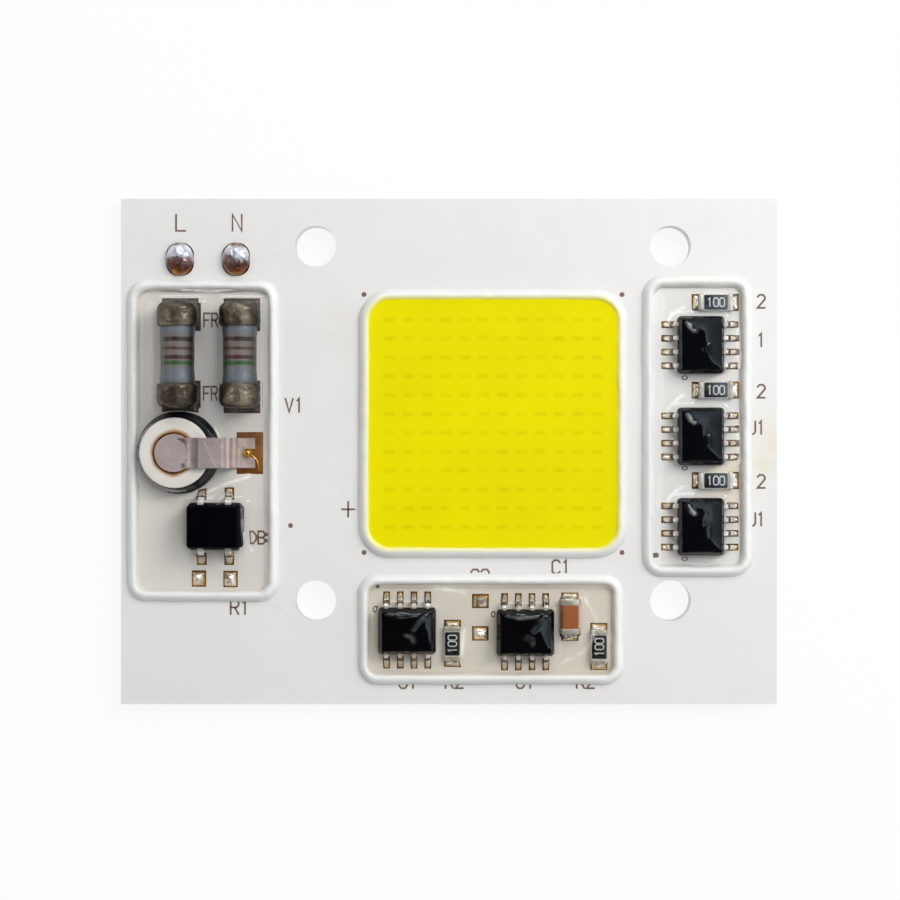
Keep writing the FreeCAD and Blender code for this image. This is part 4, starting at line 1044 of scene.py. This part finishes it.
class GelOperator(BuildOperator, bpy.types.Operator):
    """Pour the clear gel over the driver fields, drawn up every part that it wets"""
    bl_idname = "lighting_module.clear_gel"
    bl_label = "Clear gel"

    # Gel tints of the left, right and bottom fields; the left and bottom ones are darker and
    # warmer, a tint of the gel deepened by painted shade.
    TINTS = ((0.925, 0.9, 0.868), (0.968, 0.963, 0.953), (0.875, 0.835, 0.765))

    @staticmethod
    def wetted(field, level, skin, crown):
        """What stands in a field: middle, half sizes, top above the gel, crown, reach, radius."""
        stands = []

        def add(name, top=None, crown=0.0, reach=0.4, inset=(0.0, 0.0), disc=False):
            high, middle, half = span(name)[1:]
            top = high.z + skin - level if top is None else top
            radius = half.x if disc else 0.0
            half = Vector() if disc else half - Vector((*inset, 0))
            stands.append((middle, half, top, crown, reach, radius))

        if field == "left":
            add("fuse_resistor_1_caps", 0.55, reach=0.55)
            add("fuse_resistor_2_caps", 0.55, reach=0.55)
            add("varistor_disc", 0.75, reach=0.45, disc=True)
            add("rectifier_body", 0.85, reach=0.55)
            add("rectifier_leads", 0.3, inset=(0, 0.6))
        numbers = FIELD_CHIPS[field]
        for number in numbers:
            add(f"driver_chip_{number}_body", None, crown, 0.34, (0.16, 0.16))
            add(f"driver_chip_{number}_leads", inset=(0.45, 0.45))
        names = [f"sense_resistor_{number}_terminals" for number in numbers]
        for name in names + (["capacitor_terminals"] if field == "bottom" else []):
            if span(name)[1].z > level:
                add(name, crown=0.03)
        return stands

    @staticmethod
    def laps(field):
        """Lines where the setting gel was drawn up, as short runs with the strength of their
        painted glint.
        """
        lines = [(line, LAP_PAINTED_GLINT) for line in LAPS[field]]
        for number in FIELD_CHIPS[field]:
            middle = span(f"driver_chip_{number}_body")[2]
            lines += [([(middle.x + x, middle.y + y) for x, y in line], white)
                      for line, white in CHIP_LAPS[field]]
        return [(Vector(start), Vector(end), white) for line, white in lines
                for start, end in zip(line, line[1:])]

    @staticmethod
    def drawn_up(x, y, runs, width):
        """How strongly the lap lines lift the gel at a point, and how bright their painted glint is
        there.
        """
        here, lift, painted_glint = Vector((x, y)), 0.0, 0.0
        out_of_reach, fades, painted_glint_width = 6, 3, 0.62
        for start, end, white in runs:
            if abs(x - start.x) + abs(y - start.y) > out_of_reach:
                continue
            along = end - start
            part = min(1.0, max(0.0, (here - start).dot(along) / along.length_squared))
            away = (start + along * part - here).length / width
            if away < fades:
                lift = max(lift, math.exp(-away ** 2))
                painted_glint = max(painted_glint, white * math.exp(-(away / painted_glint_width) ** 2))
        return lift, painted_glint

    @staticmethod
    def rise(x, y, stand):
        """How high gel stands over its level, on and round one wetted part."""
        middle, half, top, crown, reach, radius = stand
        farthest, slope_power, ridge_blend, crown_run, crown_swell = 3, 1.15, 4, 1.3, 0.22
        away_x, away_y = abs(x - middle.x) - half.x, abs(y - middle.y) - half.y
        away = max(0.0, math.hypot(max(away_x, 0), max(away_y, 0)) - radius)
        if away > farthest:
            return 0.0
        if away > 0:
            return max(top * math.exp(-(away / reach) ** slope_power), 0.0)
        inward = math.log(math.exp(ridge_blend * away_x) + math.exp(ridge_blend * away_y))
        ridge = crown * (1 - math.exp(min(0.0, inward / ridge_blend) / crown_run))
        return max(top + ridge * (1 + crown_swell * wobble(x, y, 8, 1.3)), 0.0)

    def execute(self, context):
        sizes = context.scene.module_sizes
        level = MASK_Z + sizes.gel_level / MM
        lap, climb = sizes.gel_lap / MM, sizes.gel_climb / MM
        lap_width, corner, past_edge, blend = 1.45 * lap, 0.7, 0.3, 5
        for field, tint_and_shade in zip(FIELDS, self.TINTS):
            low, high = span("driver_gel_" + field)[:2]
            stands = self.wetted(field, level, sizes.gel_skin / MM, sizes.gel_crown / MM)
            runs = self.laps(field)

            def surface(x, y):
                edge = edge_distance(x, y, low, high, corner)
                rises = [self.rise(x, y, stand) for stand in stands]
                rises.append(climb * math.exp(-max(edge, 0) / 0.5))
                highest = sum(rise ** blend for rise in rises) ** (1 / blend)
                drawn = lap * self.drawn_up(x, y, runs, lap_width)[0] + 0.02 * wobble(x, y, 6, 3.0)
                return level + highest + drawn + min(edge, 0) * 1.1

            shape = poured(low, high, past_edge, sizes.gel_step / MM, MASK_Z - 0.01, surface)
            piece = make_piece(f"gel_pour_{field}", shape, gel_finish(field, tint_and_shade),
                               "clear_gel", "driver_gel_" + field)
            # Each point's painted glint along the lap lines, shown by the gel's emission.
            painted_glint = piece.data.attributes.new("lap_painted_glint", "FLOAT", "POINT")
            painted_glint.data.foreach_set("value", [self.drawn_up(x, y, runs, lap_width)[1]
                                             for x, y, _ in shape[0]])
        return {"FINISHED"}


def make_package(name, tints, sizes, foot, slope_run, toe, corner):
    """A moulded body and its bent leads, each with the rounded toe of its solder."""
    stand = Stand(name)
    taper, half_thick, toe_round = math.tan(math.radians(8)), 0.1, 0.24
    edge, bend = sizes.mould_edge / MM, sizes.lead_bend / MM
    leads = []
    for box in stand.leads:
        side, inner, outer, across, half_width, low, high = stand.seen_from(box)
        parting = high - half_thick
        sole = low + half_thick
        outer += toe
        heel = outer - foot
        line = bent_line([(inner, parting), (heel - slope_run, parting), (heel, sole),
                          (outer - 0.14, sole), (outer - 0.06, sole), (outer, sole - 0.02)], bend)
        ends = [1 - min(1.0, max(0.0, outer - along) / toe_round) for along, height in line]
        widths = [half_width * math.sqrt(1 - 0.8 * end ** 2) for end in ends]
        put = (lambda along, sideways, height, s=side, a=across:
               stand.at(s * along, a + s * sideways, height))
        leads.append(strip(line, half_width, half_thick, put, 0.06, widths))
    low, high = stand.low.z, stand.high.z
    lower, upper = (parting - low) * taper, (high - parting) * taper
    levels = [(lower + 0.08, low), (lower, low + 0.06), (0.012, parting - 0.02), (0.0, parting),
              (0.012, parting + 0.02), (upper * (high - edge - parting) / (high - parting),
                                        high - edge)] + round_edge(upper, high, edge)[1:]
    body = block(stand.middle, stand.half.x, stand.half.y, corner, levels)
    make_piece(name + "_mould", body, mould_finish(tints), "black_mould", name + "_body")
    make_piece(name + "_gull_wings", joined(leads), tin_finish(tints), "tinned_lead",
               name + "_leads")


class DriverChipOperator(BuildOperator, bpy.types.Operator):
    """Mould the five driver packages and bend their gull-wing leads"""
    bl_idname = "lighting_module.driver_chips"
    bl_label = "Driver packages"

    def execute(self, context):
        scene = context.scene
        for number in range(1, 6):
            make_package(f"driver_chip_{number}", scene.module_colours, scene.module_sizes,
                         foot=0.56, slope_run=0.38, toe=0.27, corner=0.16)
        return {"FINISHED"}


class RectifierOperator(BuildOperator, bpy.types.Operator):
    """Mould the rectifier and bend its four leads"""
    bl_idname = "lighting_module.rectifier"
    bl_label = "Rectifier"

    def execute(self, context):
        scene = context.scene
        make_package("rectifier", scene.module_colours, scene.module_sizes,
                     foot=0.6, slope_run=0.42, toe=0.12, corner=0.3)
        return {"FINISHED"}


class SmallPartOperator(BuildOperator, bpy.types.Operator):
    """Make the chip resistors with their value print, and the chip capacitor"""
    bl_idname = "lighting_module.chip_parts"
    bl_label = "Chip resistors and capacitor"

    @staticmethod
    def ends(name, upright, wrap):
        """Two wrapped terminals with rounded edges."""
        low, high, middle, half = span(name)
        half_x, half_y = (half.x, wrap / 2) if upright else (wrap / 2, half.y)
        reach = Vector((0, half.y - wrap / 2, 0) if upright else (half.x - wrap / 2, 0, 0))
        levels = [(0.05, low.z), (0.0, low.z + 0.05)] + round_edge(0.0, high.z, 0.09)
        return joined([block(middle + reach * side, half_x, half_y, 0.1, levels)
                       for side in (-1, 1)])

    def execute(self, context):
        tints = context.scene.module_colours
        glaze = two_tone("Resistor_Glaze", Coat_Weight=0.5)
        alumina, white = two_tone("White_Alumina"), two_tone("Value_Print")
        # The plated ends darken towards the foot: brown under the solder, deepened by painted
        # shade.
        clean = by_height((0.0, tone(58, 46, 34)), (0.35, tone(104, 92, 72)),
                          (0.6, tone(216, 213, 204)), (1.0, tone(222, 220, 214)))
        tin = tarnished("Plated_End", clean, tone(160, 152, 130), tone(92, 76, 56), 620.0, 0.5,
                        0.35, 0.06, 0.22, 0.5, 1200.0)
        brown = mottled("Capacitor_Ceramic", (tints.capacitor, shade(tints.capacitor, 0.82)), 800.0,
                        0.7, 0.4, 0.58, 4600.0, 0.012)
        codes = []
        for number in range(1, 6):
            name = f"sense_resistor_{number}"
            low, high, middle, half = span(name + "_terminals")
            upright = half.y > half.x
            make_piece(name + "_plated_ends", self.ends(name + "_terminals", upright, 0.46), tin,
                       "tinned_lead", name + "_terminals")

            def inner(across, along):
                return (half.x - across, half.y - along) if upright else (half.x - along,
                                                                          half.y - across)

            slab = block(middle, *inner(0.04, 0.06), 0.05,
                         [(0.02, low.z + 0.03), (0.0, low.z + 0.06), (0.0, high.z - 0.1)] +
                         round_edge(0.0, high.z - 0.05, 0.04)[1:])
            make_piece(name + "_slab", slab, alumina, "resistor_glaze", name + "_body")
            cover = block(middle, *inner(0.1, 0.5), 0.12,
                          [(0.0, high.z - 0.07)] + round_edge(0.0, high.z - 0.012, 0.05)[1:])
            make_piece(name + "_glaze", cover, glaze, "resistor_glaze")
            turn = math.pi / 2 if upright else 0.0
            codes.append(words("100", middle.x, middle.y, 0.78, high.z - 0.013, 0.01, turn, 0.05))
        make_piece("resistor_value_print", joined(codes), white, "resistor_glaze")
        low, high, middle, half = span("capacitor_terminals")
        make_piece("capacitor_plated_ends", self.ends("capacitor_terminals", True, 0.55), tin,
                   "tinned_lead", "capacitor_terminals")
        body = block(middle, half.x - 0.05, half.y - 0.05, 0.12,
                     [(0.05, low.z + 0.03), (0.0, low.z + 0.1)] +
                     round_edge(0.0, high.z - 0.03, 0.12))
        make_piece("capacitor_ceramic_block", body, brown, "capacitor_ceramic", "capacitor_body")
        return {"FINISHED"}


class FuseOperator(BuildOperator, bpy.types.Operator):
    """Turn the two lacquered fusible resistors and their pressed caps"""
    bl_idname = "lighting_module.fusible_resistors"
    bl_label = "Fusible resistors"

    @staticmethod
    def cap_edge(rod, cap, outer):
        """Profile of a pressed cap from its mouth to its outer end, as (radius, place) pairs."""
        mouth = outer - 2.3    # a cap's length
        edge = [(rod - 0.04, mouth + 0.1), (rod + 0.06, mouth + 0.02), (cap - 0.14, mouth + 0.06),
                (cap - 0.03, mouth + 0.24), (cap, mouth + 0.55), (cap - 0.03, mouth + 0.95),
                (cap, mouth + 1.3)]
        for step in range(1, 9):
            angle = math.radians(90 * step / 8)
            edge.append((cap - 0.9 * (1 - math.cos(angle)), outer - 0.8 * (1 - math.sin(angle))))
        return edge + [(0.6, outer - 0.02), (0.2, outer - 0.05)]

    def execute(self, context):
        tints = context.scene.module_colours
        for number in (1, 2):
            name = f"fuse_resistor_{number}"
            low, high, middle, half = span(name + "_caps")
            rod_middle, rod_half = span(name + "_body")[2:]
            axis_z, rod_radius = rod_middle.z, rod_half.z

            def put(a, b, place, seed=number):
                ripple = 1 - 0.02 * abs(wobble(place, math.atan2(b, a) * 1.5, seed, 0.9))
                return (middle.x + a * ripple, place, axis_z + b * ripple)

            if number == 1:
                lacquer = fuse_finish(tints, low.y, high.y, axis_z, rod_radius)
                metal = cap_finish(tints, axis_z, half.z)
            profile = []
            for step in range(40, -1, -1):
                part = step / 40 * 2 - 1
                swell = 0.06 * math.exp(-((abs(part) - 0.52) / 0.1) ** 2)
                profile.append((rod_radius - 0.06 + swell, middle.y + part * rod_half.y))
            make_piece(name + "_lacquered_rod", turned(profile, put), lacquer, "fuse_lacquer",
                       name + "_body")
            caps = []
            for side in (-1, 1):
                edge = [(radius, middle.y + side * place) for radius, place in
                        self.cap_edge(rod_radius, half.z, high.y - middle.y)]
                caps.append(turned(edge[::-side], put))
            make_piece(name + "_pressed_caps", joined(caps), metal, "fuse_cap", name + "_caps")
        return {"FINISHED"}


class VaristorOperator(BuildOperator, bpy.types.Operator):
    """Make the varistor blank, its strap and the solder at both ends of the strap"""
    bl_idname = "lighting_module.varistor"
    bl_label = "Varistor and strap"

    @staticmethod
    def blank(low, middle, radius, face_z):
        """The disc with its rounded shoulder, leaning a little from its foot to its face."""
        def put(a, b, place):
            lean = (place - low.z) / (face_z - low.z)
            return (middle.x + a + 0.16 - 0.34 * lean, middle.y + b + 0.14 - 0.12 * lean, place)

        flank = [(0.08, 0), (0.02, 0.08), (0.03, 0.25), (0.08, 0.6), (0.14, 0.95)]
        shoulder = [(0.23, 0.28), (0.31, 0.1), (0.36, 0.045), (0.42, 0.012), (0.55, 0), (0.9, 0)]
        profile = [(radius - inset, low.z + rise) for inset, rise in flank]
        profile += [(radius - inset, face_z - drop) for inset, drop in shoulder]
        return turned(profile + [(2.5, face_z - 0.012), (0.5, face_z - 0.012)], put, 96)

    @staticmethod
    def strap(start, y, floor, thick, raised, foot):
        """The strap with its round head, two prongs, two ribs and three folds."""
        level = floor + thick / 2

        def along_strap(along, across, height):
            return (start + along, y + across, height)

        corners = [(0.4, level), (1.5, level), (1.95, raised), (4.75, raised), (5.55, foot),
                   (6.64, foot)]
        head = [(1.66, 0), (1.74, 0.04), (1.74, 0.15), (1.7, thick), (1.3, thick),
                (0.5, thick + 0.012)]
        shapes = [strip(bent_line(corners, 0.4, 7), 1.4, thick / 2, along_strap, 0.05),
                  loft([ring(start, y, radius, floor + rise, 72) for radius, rise in head])]
        for side in (-1, 1):
            shapes.append(strip([(6.62, foot), (7.1, foot), (7.34, foot)], 0.5125, thick / 2,
                                lambda along, across, height, s=side:
                                (start + along, y + s * 0.8875 + across, height), 0.05))
        for rib in (5.0, 5.35):
            height = raised + (foot - raised) * (rib - 4.75) / 0.8
            ridge = [(rib - 0.14, height + 0.06), (rib, height + 0.1), (rib + 0.14, height - 0.16)]
            shapes.append(strip(ridge, 1.36, 0.06, along_strap, 0.03))
        for begin, end in (((2.75, 0.95), (3.9, -1.25)), ((3.15, -0.95), (4.6, 1.15)),
                           ((2.7, 1.2), (3.3, 0.3))):
            begin, fold = Vector(begin), Vector(end) - Vector(begin)
            aside = Vector((-fold.y, fold.x)).normalized() * 0.08
            top = raised + thick / 2 - 0.01
            shapes.append(loft([[along_strap(*spot, top + lift) for spot, lift in
                                 ((here - aside, 0), (here, 0.075), (here + aside, 0))]
                                for here in (begin, begin + fold / 2, begin + fold)]))
        return joined(shapes)

    @staticmethod
    def head_solder(start, y, floor):
        """The uneven ring of scorched solder round the strap's head."""
        loops, inner = [], 1.76
        for radius, height in ((1.66, 0.0), (1.93, 0.0), (1.91, 0.07), (1.83, 0.15), (1.75, 0.17),
                               (1.68, 0.12)):
            loop = []
            for step in range(90):
                angle = 2 * math.pi * step / 90
                way_x, way_y = math.cos(angle), math.sin(angle)
                ripple = 1 + 0.03 * wobble(way_x * 2, way_y * 2, 5, 0.8) if radius > inner else 1
                loop.append((start + radius * ripple * way_x, y + radius * ripple * way_y,
                             floor + height))
            loops.append(loop)
        return loft(loops + loops[:1], False)

    @staticmethod
    def foot_drop(start, y, foot):
        """A round drop of solder on the strap's foot, with a curled tail."""
        angles = [math.radians(angle) for angle in range(15, 180, 15)]
        loops = [ring(start + 6.66, y, 0.46 * math.sin(angle), foot + 0.12 - 0.42 * math.cos(angle),
                      32) for angle in angles]
        line = [Vector((start + 6.74 + 0.9 * math.sin(part * 1.9), y - 0.1 - 1.5 * part ** 1.4, 0))
                for part in (0, 0.15, 0.3, 0.45, 0.6, 0.75, 0.9, 1.0)]
        tail = []
        for index, point in enumerate(line):
            ahead = line[min(index + 1, len(line) - 1)] - line[max(index - 1, 0)]
            side = Vector((-ahead.y, ahead.x, 0)).normalized()
            width = 0.2 - 0.018 * index
            tail.append([tuple(point + side * width * math.cos(angle) +
                               Vector((0, 0, foot - 0.02 + width * 0.8 * math.sin(angle))))
                         for angle in map(math.radians, range(0, 360, 36))])
        return joined([loft(loops), loft(tail)])

    def execute(self, context):
        tints = context.scene.module_colours
        low, high, middle, half = span("varistor_disc")
        strap_low, strap_high = span("varistor_strap")[:2]
        face_z, thick = high.z, 0.2
        start, y = middle.x - 0.24, middle.y
        raised, foot = strap_high.z - thick / 2, strap_low.z + thick / 2
        make_piece("varistor_blank", self.blank(low, middle, half.x, face_z),
                   ceramic_finish(tints, Vector((start, y, face_z))), "varistor_ceramic",
                   "varistor_disc")
        make_piece("strap_strip", self.strap(start, y, face_z + 0.05, thick, raised, foot),
                   strap_finish(tints, start), "tinned_strap", "varistor_strap")
        make_piece("strap_head_solder", self.head_solder(start, y, face_z - 0.02),
                   fluxed("Scorched_Flux"), "soft_solder")
        make_piece("strap_foot_drop", self.foot_drop(start, y, foot), fluxed("Bright_Flux_Drop"),
                   "soft_solder")
        return {"FINISHED"}


class SolderOperator(BuildOperator, bpy.types.Operator):
    """Fill every land with its solder and set the two supply domes"""
    bl_idname = "lighting_module.solder"
    bl_label = "Solder"

    FILM, BARE_LAND = 0.1, 0.25    # packed solder that is lower is a film, or lies on a bare land

    @staticmethod
    def joined_boxes(boxes):
        """Boxes that overlap in plan, merged."""
        merged = []
        for low, high in boxes:
            for other in merged:
                if all(low[axis] < other[1][axis] and high[axis] > other[0][axis]
                       for axis in (0, 1)):
                    other[0] = Vector(map(min, zip(low, other[0])))
                    other[1] = Vector(map(max, zip(high, other[1])))
                    break
            else:
                merged.append([low, high])
        return merged

    @staticmethod
    def dome(low, high, seed):
        """A high rounded drop on a land, a little uneven."""
        middle, half = (low + high) / 2, (high - low) / 2
        loops = []
        for step in range(15):
            angle = math.radians(88 * step / 14)
            loop = []
            for turn in range(44):
                way = 2 * math.pi * turn / 44
                x, y = math.cos(way) * math.cos(angle), math.sin(way) * math.cos(angle)
                dent = wobble(x * 1.5, y * 1.5 + step * 0.04, seed + 40, 0.6)
                ripple = min(1 + 0.1 * dent * math.sin(angle * 1.4), 1.0)
                top = math.sin(angle) ** 0.85 * (0.92 + 0.08 * wobble(x * 2, y * 2, seed + 50, 0.5))
                loop.append((middle.x + half.x * x * ripple, middle.y + half.y * y * ripple,
                             low.z + (high.z - low.z) * top))
            loops.append(loop)
        return loft(loops)

    def execute(self, context):
        tints = context.scene.module_colours
        swell = context.scene.module_sizes.solder_swell / MM
        bright = solder_finish(tints)
        for field in FIELDS:
            name = field + "_solder_joints"
            lands, strap_land, dark_fuse_lands = [], [], []
            for seed, (low, high) in enumerate(self.joined_boxes(loose_boxes(name)), 20):
                if low.z > MASK_Z:
                    continue
                size = high - low
                wide = size.x > 2
                height = size.z
                if height < self.FILM:
                    height = 0.07 if wide else swell
                elif height < self.BARE_LAND:
                    height = 0.34
                corner = 0.26 if min(size.x, size.y) < 0.9 else 0.14
                shape = pillow(low, high, corner, height, seed)
                if 2.3 < size.x < 2.7 and size.y > 3.5:
                    strap_land.append(shape)
                else:
                    # The wide lands of the left field, under the fuses, take a darker solder.
                    (dark_fuse_lands if wide and field == "left" else lands).append(shape)
            make_piece(name.replace("joints", "drops"), joined(lands), bright, "soft_solder", name)
            if strap_land:
                make_piece("strap_land_flux", joined(strap_land), fluxed("Flux_Varnish"),
                           "soft_solder")
                make_piece("scorched_solder_drops", joined(dark_fuse_lands), fluxed("Dark_Fuse_Solder"),
                           "soft_solder")
        boxes = loose_boxes("supply_solder_domes")
        domes = joined([self.dome(low, high, seed) for seed, (low, high) in enumerate(boxes)])
        make_piece("supply_drops", domes, dome_finish(*boxes[0]), "soft_solder",
                   "supply_solder_domes")
        return {"FINISHED"}


class StageOperator(BuildOperator, bpy.types.Operator):
    """Set the floor, the soft lights and the camera straight above the board"""
    bl_idname = "lighting_module.stage"
    bl_label = "Stage"

    # Lamps: name, place from the board's middle, sizes, power, and whether reflections show it.
    LAMPS = [("soft_right", (0.15, 0.085, 0.15), (0.24, 0.24), 0.21, False),
             ("soft_far", (0.01, 0.1, 0.2), (0.22, 0.22), 0.07, False),
             ("window", (0.19, 0.13, 0.2), (0.1, 0.12), 0.28, True),
             ("far_window", (-0.02, 0.22, 0.2), (0.12, 0.05), 0.1, True),
             ("left_window", (-0.2, 0.03, 0.2), (0.06, 0.14), 0.04, True),
             ("near_window", (0.04, -0.2, 0.2), (0.14, 0.06), 0.03, True)]
    SKY = [(0.0, (0.28, 0.28, 0.28)), (0.3, (0.23, 0.23, 0.23)), (0.6, (0.12, 0.12, 0.122)),
           (0.85, (0.024, 0.025, 0.028)), (1.0, (0.009, 0.009, 0.011))]
    BRIGHT_SIDE = [(0.19, BLACK), (0.21, (0.72, 0.88, 1.0)), (0.3, (0.34, 0.42, 0.5)),
                   (0.45, (0.2, 0.24, 0.28)), (0.8, (0.16, 0.18, 0.2))]

    @staticmethod
    def floor(scene):
        """Pale paper that the camera sees as nearly white."""
        paper, tree, shader = new_finish("Pale_Paper")
        skin = mottle(tree, (0.93, 0.93, 0.93), (0.91, 0.91, 0.91), 40.0, 0.5, 0.8, 0.95)
        feed(tree, shader, Base_Color=skin["Color"], Roughness=skin["Roughness"])
        path = node(tree, "LightPath").outputs
        seen = maths(tree, "MAXIMUM", path["Is Glossy Ray"], path["Is Transmission Ray"])
        seen = maths(tree, "MAXIMUM", path["Is Camera Ray"], seen)
        white = node(tree, "Emission", {"Color": WHITE, "Strength": 1.0})
        mix_surface(tree, maths(tree, "MULTIPLY", seen, 0.9), shader, white)
        mesh = bpy.data.meshes.new("floor")
        reach, drop = 1.2, -0.0001
        mesh.from_pydata([(-reach, -reach, drop), (reach, -reach, drop), (reach, reach, drop),
                          (-reach, reach, drop)], [], [(0, 1, 2, 3)])
        mesh.materials.append(paper)
        floor = bpy.data.objects.new("floor", mesh)
        scene.collection.objects.link(floor)

    def room(self, scene):
        """A dim room: dark overhead, paler towards the horizon, one bright side."""
        world = bpy.data.worlds.new("soft_room")
        world.use_nodes = True
        tree = world.node_tree
        tree.nodes.clear()
        way = node(tree, "TexCoord").outputs["Generated"]
        sky = band_ramp(tree, node(tree, "SeparateXYZ", {0: way}).outputs["Z"], self.SKY)
        side = vectors(tree, "DOT_PRODUCT", {0: way, 1: (0.9, 0.43, 0.0)})["Value"]
        lit = mixed(tree, 1.0, sky, band_ramp(tree, side, self.BRIGHT_SIDE), "LIGHTEN")
        glow = node(tree, "Background", {"Color": lit, "Strength": 2.2})
        node(tree, "OutputWorld", {"Surface": glow.outputs[0]})
        scene.world = world

    @staticmethod
    def lamp(scene, middle, name, away, size, power, mirrored):
        data = bpy.data.lights.new(name, "AREA")
        data.shape = "RECTANGLE"
        data.size, data.size_y = size
        data.energy = power
        lamp = bpy.data.objects.new(name, data)
        lamp.location = (middle.x + away[0], middle.y + away[1], away[2])
        lamp.rotation_euler = (middle - lamp.location).to_track_quat("-Z", "Y").to_euler()
        lamp.visible_glossy = mirrored
        scene.collection.objects.link(lamp)

    def execute(self, context):
        scene = context.scene
        self.floor(scene)
        self.room(scene)
        for lamp in self.LAMPS:
            self.lamp(scene, (CAD_LOW + CAD_HIGH) / 2, *lamp)
        above = 0.16
        camera = bpy.data.cameras.new("camera")
        camera.lens = 68.8
        camera.sensor_width = 36
        camera.clip_start, camera.clip_end = 0.01, 10
        holder = bpy.data.objects.new("camera", camera)
        holder.location = (-0.004, -0.002465, MASK_Z * MM + above)
        scene.collection.objects.link(holder)
        scene.camera = holder
        scene.view_settings.view_transform = "Standard"
        return {"FINISHED"}


OPERATORS = [BoardOperator, PrintOperator, LightFieldOperator, DamOperator, GelOperator,
             DriverChipOperator, RectifierOperator, SmallPartOperator, FuseOperator,
             VaristorOperator, SolderOperator, StageOperator]


class ModulePanel(bpy.types.Panel):
    """Lists the module's values and the operators that build it"""
    bl_idname = "VIEW3D_PT_lighting_module"
    bl_label = "Lighting Module"
    bl_space_type = "VIEW_3D"
    bl_region_type = "UI"
    bl_category = "Lighting Module"

    def draw(self, context):
        for group in (context.scene.module_sizes, context.scene.module_colours):
            column = self.layout.column(align=True)
            for name in group.__annotations__:
                column.prop(group, name)
        column = self.layout.column(align=True)
        for operator in OPERATORS:
            column.operator(operator.bl_idname)


CLASSES = [ModuleSizes, ModuleColours, *OPERATORS, ModulePanel]


def register():
    for entry in CLASSES:
        bpy.utils.register_class(entry)
    bpy.types.Scene.module_sizes = PointerProperty(type=ModuleSizes)
    bpy.types.Scene.module_colours = PointerProperty(type=ModuleColours)


def unregister():
    del bpy.types.Scene.module_colours
    del bpy.types.Scene.module_sizes
    for entry in reversed(CLASSES):
        bpy.utils.unregister_class(entry)


def main():
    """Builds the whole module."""
    register()
    for operator in OPERATORS:
        group, action = operator.bl_idname.split(".")
        getattr(getattr(bpy.ops, group), action)()


if __name__ == "__main__":
    main()
